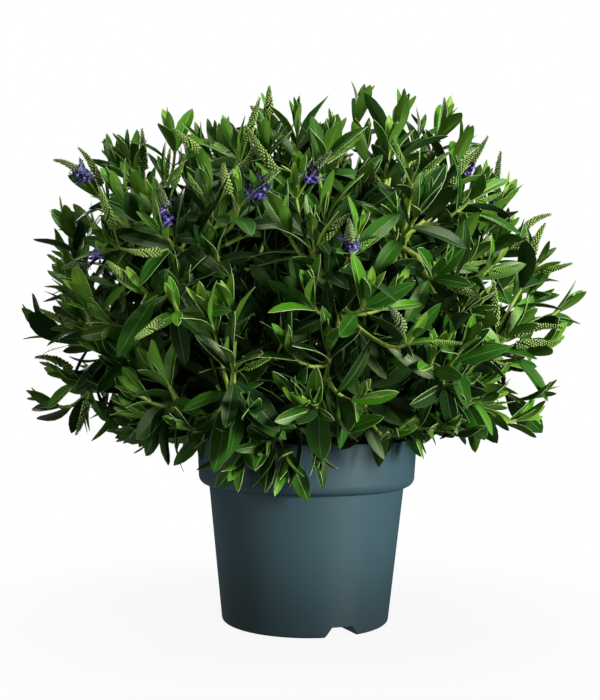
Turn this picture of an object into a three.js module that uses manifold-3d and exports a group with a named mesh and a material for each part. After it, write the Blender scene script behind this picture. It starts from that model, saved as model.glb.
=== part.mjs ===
// A hebe shrub in a moulded grower's pot, in millimetres, +Z up. The origin is the middle of the flat
// foot under the pot, and the plant's front faces -Y.
//
// The pot is a thin-walled shell with a wide collar and three drainage channels across its foot. A
// short main stem stands in the potting soil and forks into a leader and a ring of limbs. Each limb
// forks again into boughs, and each bough carries one mass of foliage: a stem whose shoots reach for
// tips spread evenly over a round crown, with leaves in crossed pairs and racemes of flower buds.
import * as THREE from "three";
import { mergeVertices } from "three/addons/utils/BufferGeometryUtils.js";
import Module from "manifold-3d";

const wasm = await Module();
wasm.setup();

// ---------------------------------------------------------------- driving dimensions
const POT_HEIGHT = 191;
const RIM_RADIUS = 115;
const COLLAR_HEIGHT = 50;
const COLLAR_TAPER = 3; // how much narrower the collar is at its lower edge
const SHOULDER = 10; // the step from the collar in to the wall
const FOOT_RADIUS = 86.5;
const FOOT_ROUND = 4;
const WALL = 1.6;
const FLOOR = 2;
const ROUND_SIDES = 32; // facets of the pot and the soil

const CHANNELS = 3;
const CHANNEL_TURN = -65; // degrees from +X to the first channel
const CHANNEL_HEIGHT = 10.5;
const CHANNEL_FOOT_WIDTH = 38;
const CHANNEL_ROOF_WIDTH = 23;
const CHANNEL_INNER_END = 38; // distance from the pot's axis
const DRAIN_RADIUS = 5;

const SOIL_BELOW_RIM = 17;
const GAP = 0.3; // between one solid and the next that touches it

const STEM_HEIGHT = 48;
const STEM_RADIUS = 9.5;
const STEM_FLARE = 6; // how much wider the stem is where it enters the soil
const STEM_LEAN = 4; // how far its top stands off the axis

const LIMBS = 6;
const LIMB_TURN = 15; // degrees from +X to the first limb
const LIMB_REACH = 62;
const LIMB_RISE = 27;
const LEADER_RISE = 58;
const LIMB_RADIUS = 5.2;
const LIMB_TIP_RADIUS = 4.2;
const BOUGH_RADIUS = 3.6;
const BOUGH_TIP_RADIUS = 2.7;

const CROWN_CENTRE = new THREE.Vector3(0, 0, 290);
const CROWN_SIDE = 285; // from the centre to the tips at the sides
const CROWN_TOP_DROP = 18; // how much less the crown reaches straight up
const CROWN_SHOULDER = 10; // how much more it reaches halfway up
const CROWN_SKIRT_DROP = 55; // how much less it reaches at its lowest tips
const LOWEST_TIP = -31; // degrees, seen from the crown's centre
const CROWN_TURN = 120; // degrees from +X to the first of the spread directions
const GOLDEN_ANGLE = 137.508;
const MASSES = 16;
const LOWEST_MASS = -17;
const LEADER_MASSES = 4; // the highest masses grow from the leader
const MASS_BASE = 0.41; // share of the crown's reach at which a bough gives way to its mass
const MASS_CENTRE = 0.78;

const TIPS = 59;
const TIP_PULL = 0.1; // how far a tip is drawn in towards the axis of its mass
const TIP_SCATTER = 5; // degrees
const REACH_SCATTER = 0.07;
const TIP_LEAF_REACH = 52; // how far the leaves stand out past the wood
const SHOOT_RADIUS = 2.8;
const SHOOT_TIP_RADIUS = 1.9;
const LEAVING = 0.25; // share of a shoot's first direction that it takes from its stem
const SHOOT_ARCH = 0.1; // how far a shoot bows upwards, as a share of its length

const LEAF_LENGTH = 90;
const LEAF_WIDTH = 0.35; // share of its length
const LEAF_THICKNESS = 0.025;
const LEAF_FOLD = 0.12; // depth of the keel, as a share of the width
const LEAF_DROOP = 0.1;
const LEAF_WIDEST = 0.46; // share of the length from the root
const NEWEST_SIZE = 0.62; // of the newest pair, as a share of a grown leaf
const NEWEST_OPENING = 14; // degrees from the shoot
const OLDEST_OPENING = 82;
const OPENING_STEP = 0.68; // share of the difference that is left with each older pair
const NODES = 3; // each carries two crossed pairs
const NODE_SPACING = 25;
const NODE_LENGTH = 3.6;
const BUD_LENGTH = 5;
const SIZE_SCATTER = 0.1;
const OPENING_SCATTER = 6; // degrees
const LEAF_FORMS = 9; // how many forms a leaf may try before it is left out
const FORM_STEP = 0.06; // how much each form closes up and shortens
const FORM_SWAY = 14; // degrees that each form leans further to one side, then the other
const LEAF_OVER = 3; // how far a leaf may stand out past the crown's reach
const LOWEST_LEAF = 122; // height of the lowest leaf tip

const RACEME_LENGTH = 58;
const RACEME_RADIUS = 5.5;
const RACEME_GIRTH = [0.25, 1, 0.1]; // share of that radius at its root, middle and tip
const RACEME_BACK = 14; // distance of its root from the shoot's tip
const RACEME_SIDES = 8; // how many sides of the shoot it may try
const RACEME_ABOVE = -5; // degrees: shoots lower on the crown carry none
const FINEST = 0.03; // detail smaller than this is left out where shoots join

// Shoots that stand out of the even crown: degrees round from +X, degrees above level as seen from
// the crown's centre, and the reach of their leaves.
const LONG_SHOOTS = [
  { turn: 174, rise: 41, reach: 306 },
  { turn: 180, rise: -10, reach: 303 },
  { turn: 176, rise: 8, reach: 303 },
  { turn: 4, rise: 10, reach: 298 },
  { turn: -101, rise: -35, reach: 214 },
  { turn: -84, rise: -36, reach: 208 },
  { turn: 200, rise: -31, reach: 240 },
  { turn: -20, rise: -30, reach: 252 },
];

// ---------------------------------------------------------------- small helpers
const radians = THREE.MathUtils.degToRad;
const UP = new THREE.Vector3(0, 0, 1);

// A number from 0 to 1 that is always the same for the same index and salt.
function chance(index, salt) {
  const wave = Math.sin(index * 12.9898 + salt * 78.233) * 43758.5453;
  return wave - Math.floor(wave);
}

function scatter(index, salt) {
  return 2 * chance(index, salt) - 1;
}

function heading(turn, rise) {
  const [t, r] = [radians(turn), radians(rise)];
  return new THREE.Vector3(Math.cos(t) * Math.cos(r), Math.sin(t) * Math.cos(r), Math.sin(r));
}

// A closed geometry as a solid: its vertices are merged and the faces that collapse are left out.
function solidOf(geometry) {
  const bare = new THREE.BufferGeometry();
  bare.setAttribute("position", geometry.getAttribute("position"));
  if (geometry.index) bare.setIndex(geometry.index);
  const merged = mergeVertices(bare, 1e-3);
  const corners = merged.index.array;
  const kept = [];
  for (let i = 0; i < corners.length; i += 3) {
    const [a, b, c] = corners.slice(i, i + 3);
    if (a !== b && b !== c && a !== c) kept.push(a, b, c);
  }
  return new wasm.Manifold(
    new wasm.Mesh({
      numProp: 3,
      vertProperties: merged.getAttribute("position").array,
      triVerts: new Uint32Array(kept),
    }),
  );
}

function geometryOf(solid) {
  const mesh = solid.getMesh();
  const geometry = new THREE.BufferGeometry();
  geometry.setAttribute("position", new THREE.BufferAttribute(mesh.vertProperties, 3));
  geometry.setIndex(new THREE.BufferAttribute(mesh.triVerts, 1));
  geometry.computeVertexNormals();
  return geometry;
}

// The largest body of a solid, without the scraps that a cut may leave.
function mainBody(solid) {
  return solid.decompose().reduce((a, b) => (a.volume() > b.volume() ? a : b));
}

// A turned solid from [radius, height] pairs that start and end on the axis.
function turned(profile) {
  const points = profile.map(([r, z]) => new THREE.Vector2(r, z));
  return solidOf(new THREE.LatheGeometry(points, ROUND_SIDES).rotateX(Math.PI / 2));
}

// A tapering round limb: a closed cylinder whose rings are carried onto the curve. It can be `grown`
// larger on every side and past both ends.
function limbAlong(curve, radiusAt, sides, steps, grown = 0) {
  const geometry = new THREE.CylinderGeometry(1, 1, 1, sides, steps);
  const frames = curve.computeFrenetFrames(steps, false);
  const place = geometry.getAttribute("position");
  for (let i = 0; i < place.count; i++) {
    const along = place.getY(i) + 0.5;
    const ring = Math.round(along * steps);
    const radius = radiusAt(along) + grown / Math.cos(Math.PI / sides);
    const past = grown * (Number(ring === steps) - Number(ring === 0));
    const point = curve
      .getPointAt(along)
      .addScaledVector(frames.tangents[ring], past)
      .addScaledVector(frames.normals[ring], place.getX(i) * radius)
      .addScaledVector(frames.binormals[ring], -place.getZ(i) * radius);
    place.setXYZ(i, point.x, point.y, point.z);
  }
  return solidOf(geometry);
}

function taper(from, to) {
  return (along) => from + (to - from) * along;
}

const shrub = new THREE.Group();

function addNode(name, solid, material) {
  const mesh = new THREE.Mesh(geometryOf(solid), material);
  mesh.name = name;
  shrub.add(mesh);
}

// ---------------------------------------------------------------- materials
const potPlastic = new THREE.MeshStandardMaterial({ color: 0x4a6670, roughness: 0.5, metalness: 0 });
const soilMatter = new THREE.MeshStandardMaterial({ color: 0x2c211a, roughness: 0.95, metalness: 0 });
const barkWood = new THREE.MeshStandardMaterial({ color: 0x6b5a3e, roughness: 0.85, metalness: 0 });
const greenWood = new THREE.MeshStandardMaterial({ color: 0x7c8c45, roughness: 0.6, metalness: 0 });
const foliage = new THREE.MeshStandardMaterial({ color: 0x2f5a22, roughness: 0.45, metalness: 0 });

// ---------------------------------------------------------------- pot and soil
const SEAM_HEIGHT = POT_HEIGHT - COLLAR_HEIGHT;
const COLLAR_FOOT = RIM_RADIUS - COLLAR_TAPER;
const WALL_TOP = COLLAR_FOOT - SHOULDER;

// The pot's outside, taken in by `inset` and with its foot at `foot`, up to `top`.
function potOutline(inset, foot, top) {
  const step = SEAM_HEIGHT + inset;
  const rimAt = COLLAR_FOOT + (COLLAR_TAPER * (top - step - SHOULDER)) / (COLLAR_HEIGHT - SHOULDER);
  return [
    [0, foot],
    [FOOT_RADIUS - FOOT_ROUND - inset / 2, foot],
    [FOOT_RADIUS - FOOT_ROUND / 3 - inset, foot + FOOT_ROUND / 3],
    [FOOT_RADIUS - inset, foot + FOOT_ROUND],
    [WALL_TOP - inset, step],
    [WALL_TOP + SHOULDER * 0.3 - inset, step + SHOULDER * 0.07],
    [WALL_TOP + SHOULDER * 0.75 - inset, step + SHOULDER * 0.35],
    [COLLAR_FOOT - inset, step + SHOULDER],
    [rimAt - inset, top],
    [0, top],
  ];
}

// One drainage channel, `grown` larger all round: a bar of trapezoid section that points outwards.
function channel(turn, grown) {
  const [foot, roof] = [CHANNEL_FOOT_WIDTH / 2 + grown, CHANNEL_ROOF_WIDTH / 2 + grown];
  const section = new THREE.Shape([
    new THREE.Vector2(-foot, -1),
    new THREE.Vector2(foot, -1),
    new THREE.Vector2(roof, CHANNEL_HEIGHT + grown),
    new THREE.Vector2(-roof, CHANNEL_HEIGHT + grown),
  ]);
  const length = FOOT_RADIUS + 12 - CHANNEL_INNER_END + grown;
  const bar = new THREE.ExtrudeGeometry(section, { depth: length, bevelEnabled: false })
    .rotateX(Math.PI / 2)
    .rotateZ(Math.PI / 2)
    .translate(CHANNEL_INNER_END - grown, 0, 0)
    .rotateZ(radians(turn));
  return solidOf(bar);
}

function drainHole(turn) {
  const middle = (CHANNEL_INNER_END + FOOT_RADIUS) / 2;
  const hole = new THREE.CylinderGeometry(DRAIN_RADIUS, DRAIN_RADIUS, 4 * WALL, 12)
    .rotateX(Math.PI / 2)
    .translate(middle, 0, CHANNEL_HEIGHT + WALL / 2)
    .rotateZ(radians(turn));
  return solidOf(hole);
}

const channelTurns = Array.from({ length: CHANNELS }, (_, i) => CHANNEL_TURN + (i * 360) / CHANNELS);
const soilTop = POT_HEIGHT - SOIL_BELOW_RIM;

let hollow = turned(potOutline(WALL, FLOOR, POT_HEIGHT + 1));
let soil = turned(potOutline(WALL + GAP, FLOOR + GAP, soilTop));
let pot = turned(potOutline(0, 0, POT_HEIGHT));
for (const turn of channelTurns) {
  hollow = hollow.subtract(channel(turn, WALL));
  soil = soil.subtract(channel(turn, WALL + GAP));
}
pot = pot.subtract(hollow);
for (const turn of channelTurns) pot = pot.subtract(channel(turn, 0)).subtract(drainHole(turn));

addNode("pot", pot, potPlastic);
addNode("potting_soil", soil, soilMatter);

// ---------------------------------------------------------------- main stem, limbs and boughs
const stemFoot = new THREE.Vector3(0, 0, soilTop + GAP);
const stemHead = new THREE.Vector3(STEM_LEAN, 0, soilTop + STEM_HEIGHT);
const stemCurve = new THREE.QuadraticBezierCurve3(
  stemFoot,
  new THREE.Vector3(0, 0, soilTop + STEM_HEIGHT / 2),
  stemHead,
);

// The stem swells towards the soil as its roots spread.
function stemRadius(along) {
  return STEM_RADIUS + STEM_FLARE * Math.exp(-along * 6);
}

// Every limb placed so far, a gap larger, to cut the next one and to keep leaves off.
let woodGuard = limbAlong(stemCurve, stemRadius, 12, 6, GAP);
addNode("main_stem", limbAlong(stemCurve, stemRadius, 12, 6), barkWood);

function addLimb(name, curve, from, to, sides, steps, material) {
  const uncut = limbAlong(curve, taper(from, to), sides, steps);
  const limb = mainBody(uncut.subtract(woodGuard));
  woodGuard = woodGuard.add(limbAlong(curve, taper(from, to), sides, steps, GAP));
  addNode(name, limb, material);
}

const leaderCurve = new THREE.LineCurve3(
  stemHead.clone().addScaledVector(UP, -STEM_RADIUS),
  stemHead.clone().addScaledVector(UP, LEADER_RISE),
);
addLimb("leader", leaderCurve, LIMB_RADIUS, LIMB_TIP_RADIUS, 6, 2, greenWood);

const limbCurves = [];
for (let i = 0; i < LIMBS; i++) {
  const outward = heading(LIMB_TURN + (i * 360) / LIMBS, 0);
  const start = stemHead.clone().addScaledVector(UP, -0.3 * STEM_HEIGHT * chance(i, 1) - LIMB_RADIUS);
  const tip = start.clone().addScaledVector(outward, LIMB_REACH);
  tip.z = stemHead.z + LIMB_RISE * (0.7 + 0.6 * chance(i, 2));
  const elbow = start.clone().addScaledVector(outward, LIMB_REACH * 0.5);
  const curve = new THREE.QuadraticBezierCurve3(start, elbow, tip);
  limbCurves.push(curve);
  addLimb(`limb_${i + 1}`, curve, LIMB_RADIUS, LIMB_TIP_RADIUS, 6, 3, greenWood);
}

// ---------------------------------------------------------------- crown
// How far the crown reaches from its centre towards a direction.
function crownReach(direction) {
  const rise = Math.asin(direction.z);
  if (rise < 0) return CROWN_SIDE - (CROWN_SKIRT_DROP * rise) / radians(LOWEST_TIP);
  return CROWN_SIDE + CROWN_SHOULDER * Math.sin(2 * rise) ** 2 - CROWN_TOP_DROP * Math.sin(rise) ** 4;
}

// The i-th of `count` directions spread evenly over the crown by the golden angle, from the top down.
function crownDirection(i, count, lowest) {
  const height = 1 - ((1 - Math.sin(radians(lowest))) * (i + 0.5)) / count;
  return heading(CROWN_TURN + i * GOLDEN_ANGLE, THREE.MathUtils.radToDeg(Math.asin(height)));
}

function fromCentre(direction, distance) {
  return CROWN_CENTRE.clone().addScaledVector(direction, distance);
}

const masses = [];
for (let i = 0; i < MASSES; i++) {
  const direction = crownDirection(i, MASSES, LOWEST_MASS);
  const reach = crownReach(direction);
  masses.push({
    direction,
    label: String(i + 1).padStart(2, "0"),
    base: fromCentre(direction, MASS_BASE * reach),
    centre: fromCentre(direction, MASS_CENTRE * reach),
    tips: [],
  });
}

// A mass keeps to the points that are nearer to its own centre than to any other's.
function nearestMass(point) {
  return masses.reduce((a, b) =>
    a.centre.distanceToSquared(point) < b.centre.distanceToSquared(point) ? a : b,
  );
}

function keepsToSpace(mass, point, margin) {
  return masses.every((other) => {
    if (other === mass) return true;
    const across = other.centre.clone().sub(mass.centre);
    const half = across.length() / 2;
    return point.clone().sub(mass.centre).dot(across.normalize()) < half - margin;
  });
}

// ---------------------------------------------------------------- boughs
function nearestLimb(mass) {
  const flat = mass.direction.clone().setZ(0).normalize();
  return limbCurves.reduce((a, b) => {
    const turnOf = (curve) => curve.getTangentAt(0).setZ(0).normalize().dot(flat);
    return turnOf(a) > turnOf(b) ? a : b;
  });
}

masses.forEach((mass, i) => {
  const parent = i < LEADER_MASSES ? leaderCurve : nearestLimb(mass);
  const start = parent.getPointAt(1 - 0.3 * chance(i, 3));
  const span = start.distanceTo(mass.base);
  mass.boughCurve = new THREE.CubicBezierCurve3(
    start,
    start.clone().addScaledVector(parent.getTangentAt(1), span * 0.3),
    mass.base.clone().addScaledVector(mass.direction, -span * 0.35),
    mass.base,
  );
  const name = `bough_${mass.label}`;
  addLimb(name, mass.boughCurve, BOUGH_RADIUS, BOUGH_TIP_RADIUS, 5, 4, greenWood);
});

// ---------------------------------------------------------------- shoot tips
function addTip(direction, reach, seed) {
  const mass = nearestMass(fromCentre(direction, reach));
  const drawn = direction.clone().lerp(mass.direction, TIP_PULL).normalize();
  mass.tips.push({ tip: fromCentre(drawn, reach - TIP_LEAF_REACH), direction: drawn, reach, seed });
}

for (let i = 0; i < TIPS; i++) {
  const even = crownDirection(i, TIPS, LOWEST_TIP);
  const turn = THREE.MathUtils.radToDeg(Math.atan2(even.y, even.x)) + TIP_SCATTER * scatter(i, 4);
  const rise = THREE.MathUtils.radToDeg(Math.asin(even.z)) + TIP_SCATTER * scatter(i, 5);
  const direction = heading(turn, Math.min(rise, 89));
  addTip(direction, crownReach(direction) * (1 + REACH_SCATTER * (chance(i, 6) - 0.8)), i);
}

LONG_SHOOTS.forEach(({ turn, rise, reach }, i) => addTip(heading(turn, rise), reach, TIPS + i));

// ---------------------------------------------------------------- leaves
// What a leaf must stay clear of besides other masses: the wood and the pot.
const potGuard = turned([
  [0, -1],
  [RIM_RADIUS + 1, -1],
  [RIM_RADIUS + 1, POT_HEIGHT + 1],
  [0, POT_HEIGHT + 1],
]);
const guard = woodGuard.add(potGuard);

function apart(a, b) {
  const [p, q] = [a.boundingBox(), b.boundingBox()];
  const boxesMiss = [0, 1, 2].some((i) => p.max[i] < q.min[i] || q.max[i] < p.min[i]);
  return boxesMiss || a.intersect(b).isEmpty();
}

// The blade of a leaf that points along `direction` from its root with its upper face to `upper`:
// its two edges, the upper and lower side of its keel, and its tip.
function bladeAt(root, direction, upper, length) {
  const across = upper.clone().cross(direction).normalize();
  const width = LEAF_WIDTH * length;
  const middle = root.clone().addScaledVector(direction, LEAF_WIDEST * length);
  const keel = middle.clone().addScaledVector(upper, -LEAF_FOLD * width);
  const half = (LEAF_THICKNESS * length) / 2;
  return {
    left: middle.clone().addScaledVector(across, -width / 2),
    right: middle.clone().addScaledVector(across, width / 2),
    top: keel.clone().addScaledVector(upper, half),
    bottom: keel.clone().addScaledVector(upper, -half),
    tip: root.clone().addScaledVector(direction, length).addScaledVector(upper, -LEAF_DROOP * length),
  };
}

// A surface that is drawn corner by corner.
class Draft {
  corners = [];
  faces = [];

  corner(point) {
    return this.corners.push(point) - 1;
  }

  face(...indices) {
    this.faces.push(...indices);
  }

  solid() {
    const geometry = new THREE.BufferGeometry().setFromPoints(this.corners);
    geometry.setIndex(this.faces);
    return solidOf(geometry);
  }
}

// Draws a blade out of a four-cornered hole, whose corners run lower left, lower right, upper right
// and upper left as seen from outside.
function drawBlade(draft, [lowLeft, lowRight, highRight, highLeft], blade) {
  const [left, right, top, bottom, tip] = ["left", "right", "top", "bottom", "tip"].map((name) =>
    draft.corner(blade[name]),
  );
  draft.face(lowLeft, lowRight, bottom, bottom, lowRight, right);
  draft.face(lowRight, highRight, right, right, highRight, top);
  draft.face(highRight, highLeft, top, top, highLeft, left);
  draft.face(highLeft, lowLeft, left, left, lowLeft, bottom);
  draft.face(bottom, right, tip, right, top, tip, top, left, tip, left, bottom, tip);
}

// The blade alone, closed at its root, to test what it would touch.
function bladeSolid(root, blade) {
  const draft = new Draft();
  const start = draft.corner(root);
  const rim = ["bottom", "right", "top", "left"].map((name) => draft.corner(blade[name]));
  const tip = draft.corner(blade.tip);
  rim.forEach((corner, i) => {
    const next = rim[(i + 1) % 4];
    draft.face(corner, next, tip, next, corner, start);
  });
  return draft.solid();
}

// ---------------------------------------------------------------- shoots
// A shoot from where it leaves its stem to its tip, bowed upwards by `arch`.
function shootCurve(start, leaving, tip, arch) {
  const span = start.distanceTo(tip);
  const bend = start.clone().addScaledVector(leaving, span * 0.4).addScaledVector(UP, -arch * span);
  return new THREE.QuadraticBezierCurve3(start, bend, tip);
}

// The distances from the tip at which a shoot carries its leaves.
function nodeDistances(length) {
  const all = Array.from({ length: NODES }, (_, i) => 1 + NODE_SPACING * i);
  return all.filter((back) => back + NODE_LENGTH < length - NODE_SPACING / 2);
}

// Four corners round the shoot. `side` is turned to stay square to the shoot from ring to ring, and the
// side between corner k and the next faces a quarter turn further round.
function ringAt(draft, curve, along, radius, side) {
  const point = curve.getPointAt(along);
  const axis = curve.getTangentAt(along);
  side.projectOnPlane(axis).normalize();
  const corners = [45, 135, 225, 315].map((degrees) =>
    point.clone().addScaledVector(side.clone().applyAxisAngle(axis, radians(degrees)), radius),
  );
  return { axis, corners, indices: corners.map((corner) => draft.corner(corner)) };
}

// One form of the leaf on side `k` between two rings. The newest pair stands nearly upright, and each
// older pair opens further. Each further form closes up, shortens and sways a little more.
function leafForm(shoot, lower, upper, k, pair, form) {
  const next = (k + 1) % 4;
  const ends = [lower.corners[k], lower.corners[next], upper.corners[next], upper.corners[k]];
  const root = ends.reduce((sum, end) => sum.add(end), new THREE.Vector3()).divideScalar(4);
  const outward = ends[1].clone().sub(ends[0]).cross(lower.axis).normalize();
  const seed = shoot.seed * 10 + pair * 2 + (k > 1 ? 1 : 0);
  const closed = (OLDEST_OPENING - NEWEST_OPENING) * OPENING_STEP ** pair;
  const open = OLDEST_OPENING - closed + OPENING_SCATTER * scatter(seed, 8);
  const angle = radians(open * (1 - FORM_STEP * form));
  const [forth, out] = [Math.cos(angle), Math.sin(angle)];
  const direction = lower.axis.clone().multiplyScalar(forth).addScaledVector(outward, out);
  const face = lower.axis.clone().multiplyScalar(out).addScaledVector(outward, -forth);
  const sway = FORM_SWAY * Math.ceil(form / 2) * (form % 2 ? 1 : -1);
  if (pair) direction.applyAxisAngle(face, radians(sway));
  const size = LEAF_LENGTH * (pair ? 1 : NEWEST_SIZE) * (1 + SIZE_SCATTER * scatter(seed, 9));
  return { root, blade: bladeAt(root, direction, face, size * (1 - FORM_STEP * form)) };
}

// Only the two newest pairs may follow a long shoot out of the even crown.
function keepsToCrown(shoot, pair, point) {
  const seen = point.clone().sub(CROWN_CENTRE);
  const reach = pair < 2 ? shoot.reach : crownReach(seen.clone().normalize());
  return point.z > LOWEST_LEAF && seen.length() < reach + LEAF_OVER;
}

function free(mass, shoot, solid) {
  const clear = mass.placed.every((other) => other.owner === shoot || apart(solid, other.solid));
  return clear && apart(solid, guard);
}

// The first form of the leaf that fits, or null.
function bladeFor(mass, shoot, lower, upper, k, pair) {
  for (let form = 0; form < LEAF_FORMS; form++) {
    const { root, blade } = leafForm(shoot, lower, upper, k, pair, form);
    const within = Object.values(blade).every(
      (point) => keepsToSpace(mass, point, GAP) && keepsToCrown(shoot, pair, point),
    );
    if (!within) continue;
    const solid = bladeSolid(root, blade);
    if (!free(mass, shoot, solid)) continue;
    mass.placed.push({ solid });
    return blade;
  }
  return null;
}

// Where along a shoot its rings stand: two round each node, numbered from the tip.
function ringsAlong(length) {
  const distances = nodeDistances(length).reverse();
  const bare = length - (distances[0] ?? 0) - NODE_LENGTH;
  const stops = [{ along: 0 }];
  if (bare > 2 * NODE_SPACING) stops.push({ along: bare / 2 / length });
  distances.forEach((back, i) => {
    stops.push({ along: 1 - (back + NODE_LENGTH) / length });
    stops.push({ along: 1 - back / length, node: distances.length - 1 - i });
  });
  return stops;
}

// A four-sided shoot with a leaf drawn out of each side of every node, and a bud at its tip.
function leafyShoot(mass, shoot) {
  const draft = new Draft();
  const radiusAt = taper(shoot.radius, SHOOT_TIP_RADIUS);
  const side = new THREE.Vector3(scatter(shoot.seed, 7), scatter(shoot.seed, 11), 0.4);
  const rings = ringsAlong(shoot.curve.getLength()).map(({ along, node }) => ({
    ...ringAt(draft, shoot.curve, along, radiusAt(along), side),
    node,
  }));
  for (let i = 1; i < rings.length; i++) {
    for (let k = 0; k < 4; k++) drawSide(draft, mass, shoot, rings[i - 1], rings[i], k);
  }
  const [first, last] = [rings[0].indices, rings.at(-1).indices];
  draft.face(first[0], first[2], first[1], first[0], first[3], first[2]);
  const bud = draft.corner(shoot.curve.getPointAt(1).addScaledVector(rings.at(-1).axis, BUD_LENGTH));
  last.forEach((corner, k) => draft.face(corner, last[(k + 1) % 4], bud));
  return draft.solid();
}

function drawSide(draft, mass, shoot, lower, upper, k) {
  const next = (k + 1) % 4;
  const hole = [lower.indices[k], lower.indices[next], upper.indices[next], upper.indices[k]];
  const pair = 2 * upper.node + (k % 2);
  const blade = upper.node === undefined ? null : bladeFor(mass, shoot, lower, upper, k, pair);
  if (blade) drawBlade(draft, hole, blade);
  else draft.face(hole[0], hole[1], hole[2], hole[0], hole[2], hole[3]);
}

// A raceme of buds: a slim spindle that leaves the shoot below its newest pair, on the first side
// where it is free. It comes in a list, which is empty if no side is.
function racemeOn(mass, shoot) {
  const along = 1 - RACEME_BACK / shoot.curve.getLength();
  const root = shoot.curve.getPointAt(along);
  const axis = shoot.curve.getTangentAt(along);
  for (let turn = 0; turn < RACEME_SIDES; turn++) {
    const round = 6 * chance(shoot.seed, 10) + (turn * 2 * Math.PI) / RACEME_SIDES;
    const side = axis.clone().cross(UP).normalize().applyAxisAngle(axis, round);
    const lean = 0.55 + 0.5 * chance(turn, shoot.seed);
    const direction = axis.clone().addScaledVector(side, lean).normalize();
    const end = root.clone().addScaledVector(direction, RACEME_LENGTH);
    const radiusAt = (share) => RACEME_RADIUS * RACEME_GIRTH[Math.round(share * 2)];
    const spindle = limbAlong(new THREE.LineCurve3(root, end), radiusAt, 3, 2);
    if (keepsToSpace(mass, end, 1) && free(mass, shoot, spindle)) return [spindle];
  }
  return [];
}

// ---------------------------------------------------------------- masses of foliage
// The stem of a mass and the shoots that leave it, each towards one tip.
function shootsOf(mass) {
  const leaving = mass.boughCurve.getTangentAt(1);
  const start = mass.base.clone().addScaledVector(leaving, GAP);
  const nearness = ({ direction }) => direction.dot(mass.direction);
  const targets = mass.tips.sort((a, b) => nearness(b) - nearness(a));
  const stem = shootCurve(start, leaving, targets[0].tip, 0);
  return targets.map((target, order) => {
    if (order === 0) return { ...target, order, radius: BOUGH_TIP_RADIUS, curve: stem };
    const node = 0.12 + 0.5 * (1 - order / targets.length);
    const from = stem.getPointAt(node);
    const towards = target.tip.clone().sub(from).normalize().lerp(stem.getTangentAt(node), LEAVING);
    const curve = shootCurve(from, towards, target.tip, SHOOT_ARCH);
    return { ...target, order, radius: SHOOT_RADIUS, curve };
  });
}

// A shoot is kept if it stays in its mass's space and clear of the limbs. Its bare wood is then
// something for the leaves of the others to stay clear of.
function keepShoot(mass, shoot) {
  const wood = limbAlong(shoot.curve, taper(shoot.radius, SHOOT_TIP_RADIUS), 4, 4);
  const within = shoot.curve.getPoints(8).every((point) => keepsToSpace(mass, point, SHOOT_RADIUS));
  const kept = within && (shoot.order === 0 || apart(wood, guard));
  if (kept) mass.placed.push({ solid: wood, owner: shoot });
  return kept;
}

function flowers(shoot) {
  return shoot.order % 3 > 0 && shoot.direction.z > Math.sin(radians(RACEME_ABOVE));
}

for (const mass of masses) {
  mass.placed = [];
  const shoots = shootsOf(mass).filter((shoot) => keepShoot(mass, shoot));
  const leafy = shoots.map((shoot) => leafyShoot(mass, shoot));
  const racemes = shoots.filter(flowers).flatMap((shoot) => racemeOn(mass, shoot));
  const whole = wasm.Manifold.union([...leafy, ...racemes]).simplify(FINEST);
  addNode(`foliage_${mass.label}`, mainBody(whole), foliage);
}

export default shrub;
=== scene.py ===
# A hebe shrub in its moulded grower's pot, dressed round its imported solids. Blender's units are metres,
# +Z is up and the plant's front faces -Y. The pot and the soil are sized in metres by way of MM. The
# plant is grown in millimetres, and its corners are multiplied by MM at the end.
import math
from types import SimpleNamespace

import bpy
import numpy as np
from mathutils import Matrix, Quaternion, Vector, noise


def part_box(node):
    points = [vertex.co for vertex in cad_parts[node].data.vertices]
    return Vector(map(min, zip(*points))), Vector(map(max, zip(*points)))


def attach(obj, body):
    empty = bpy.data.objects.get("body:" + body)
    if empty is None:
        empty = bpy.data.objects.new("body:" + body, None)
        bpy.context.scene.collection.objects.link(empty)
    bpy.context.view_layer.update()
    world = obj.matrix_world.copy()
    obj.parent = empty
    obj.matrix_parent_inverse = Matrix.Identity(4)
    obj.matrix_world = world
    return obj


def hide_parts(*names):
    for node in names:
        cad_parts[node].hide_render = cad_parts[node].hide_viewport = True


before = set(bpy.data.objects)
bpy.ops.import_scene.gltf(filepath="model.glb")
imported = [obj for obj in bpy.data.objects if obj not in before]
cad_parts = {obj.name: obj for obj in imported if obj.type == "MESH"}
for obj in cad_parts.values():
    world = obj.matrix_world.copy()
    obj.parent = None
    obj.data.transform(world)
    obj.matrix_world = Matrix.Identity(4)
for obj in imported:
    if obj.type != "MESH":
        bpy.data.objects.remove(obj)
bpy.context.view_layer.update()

# ---------------------------------------------------------------- studio
# A studio table: a pale floor that runs out into white, a soft light from the front right, a weaker
# one from the front left, one overhead and one from behind on the left.
WHITE = "#ffffff"
FLOOR_RADIUS = 0.6
FLOOR_FIRM = 0.08  # its alpha in the middle, which is just enough to take the pot's shadow
FLOOR_CLEAR = 0.05  # from this far out it runs out into white
CAMERA_PLACE = (-0.0083, -1.221, 0.283)
CAMERA_DOWN = 0.13  # degrees
CAMERA_ROLL = -0.65  # degrees
CAMERA_LENS = 60.2
SOFT_LIGHTS = {  # place, metres across, watts
    "key_light": ((1.5, -1.25, 0.68), 0.6, 53.0),
    "fill_light": ((-1.6, -1.3, 0.6), 0.9, 8.5),
    "top_light": ((0.2, -0.2, 1.9), 0.9, 17.0),
    "edge_light": ((-1.1, 1.1, 0.9), 0.5, 12.0),
}
AIM = Vector((0, 0, 0.3))
SURROUND = 0.035  # strength of the white room as it lights the plant
TABLE = 0.2  # the same from below, where the white table throws the light up
TABLE_EDGE, TABLE_FULL = -0.1, -0.6  # how far down a ray points where it meets the table


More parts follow.
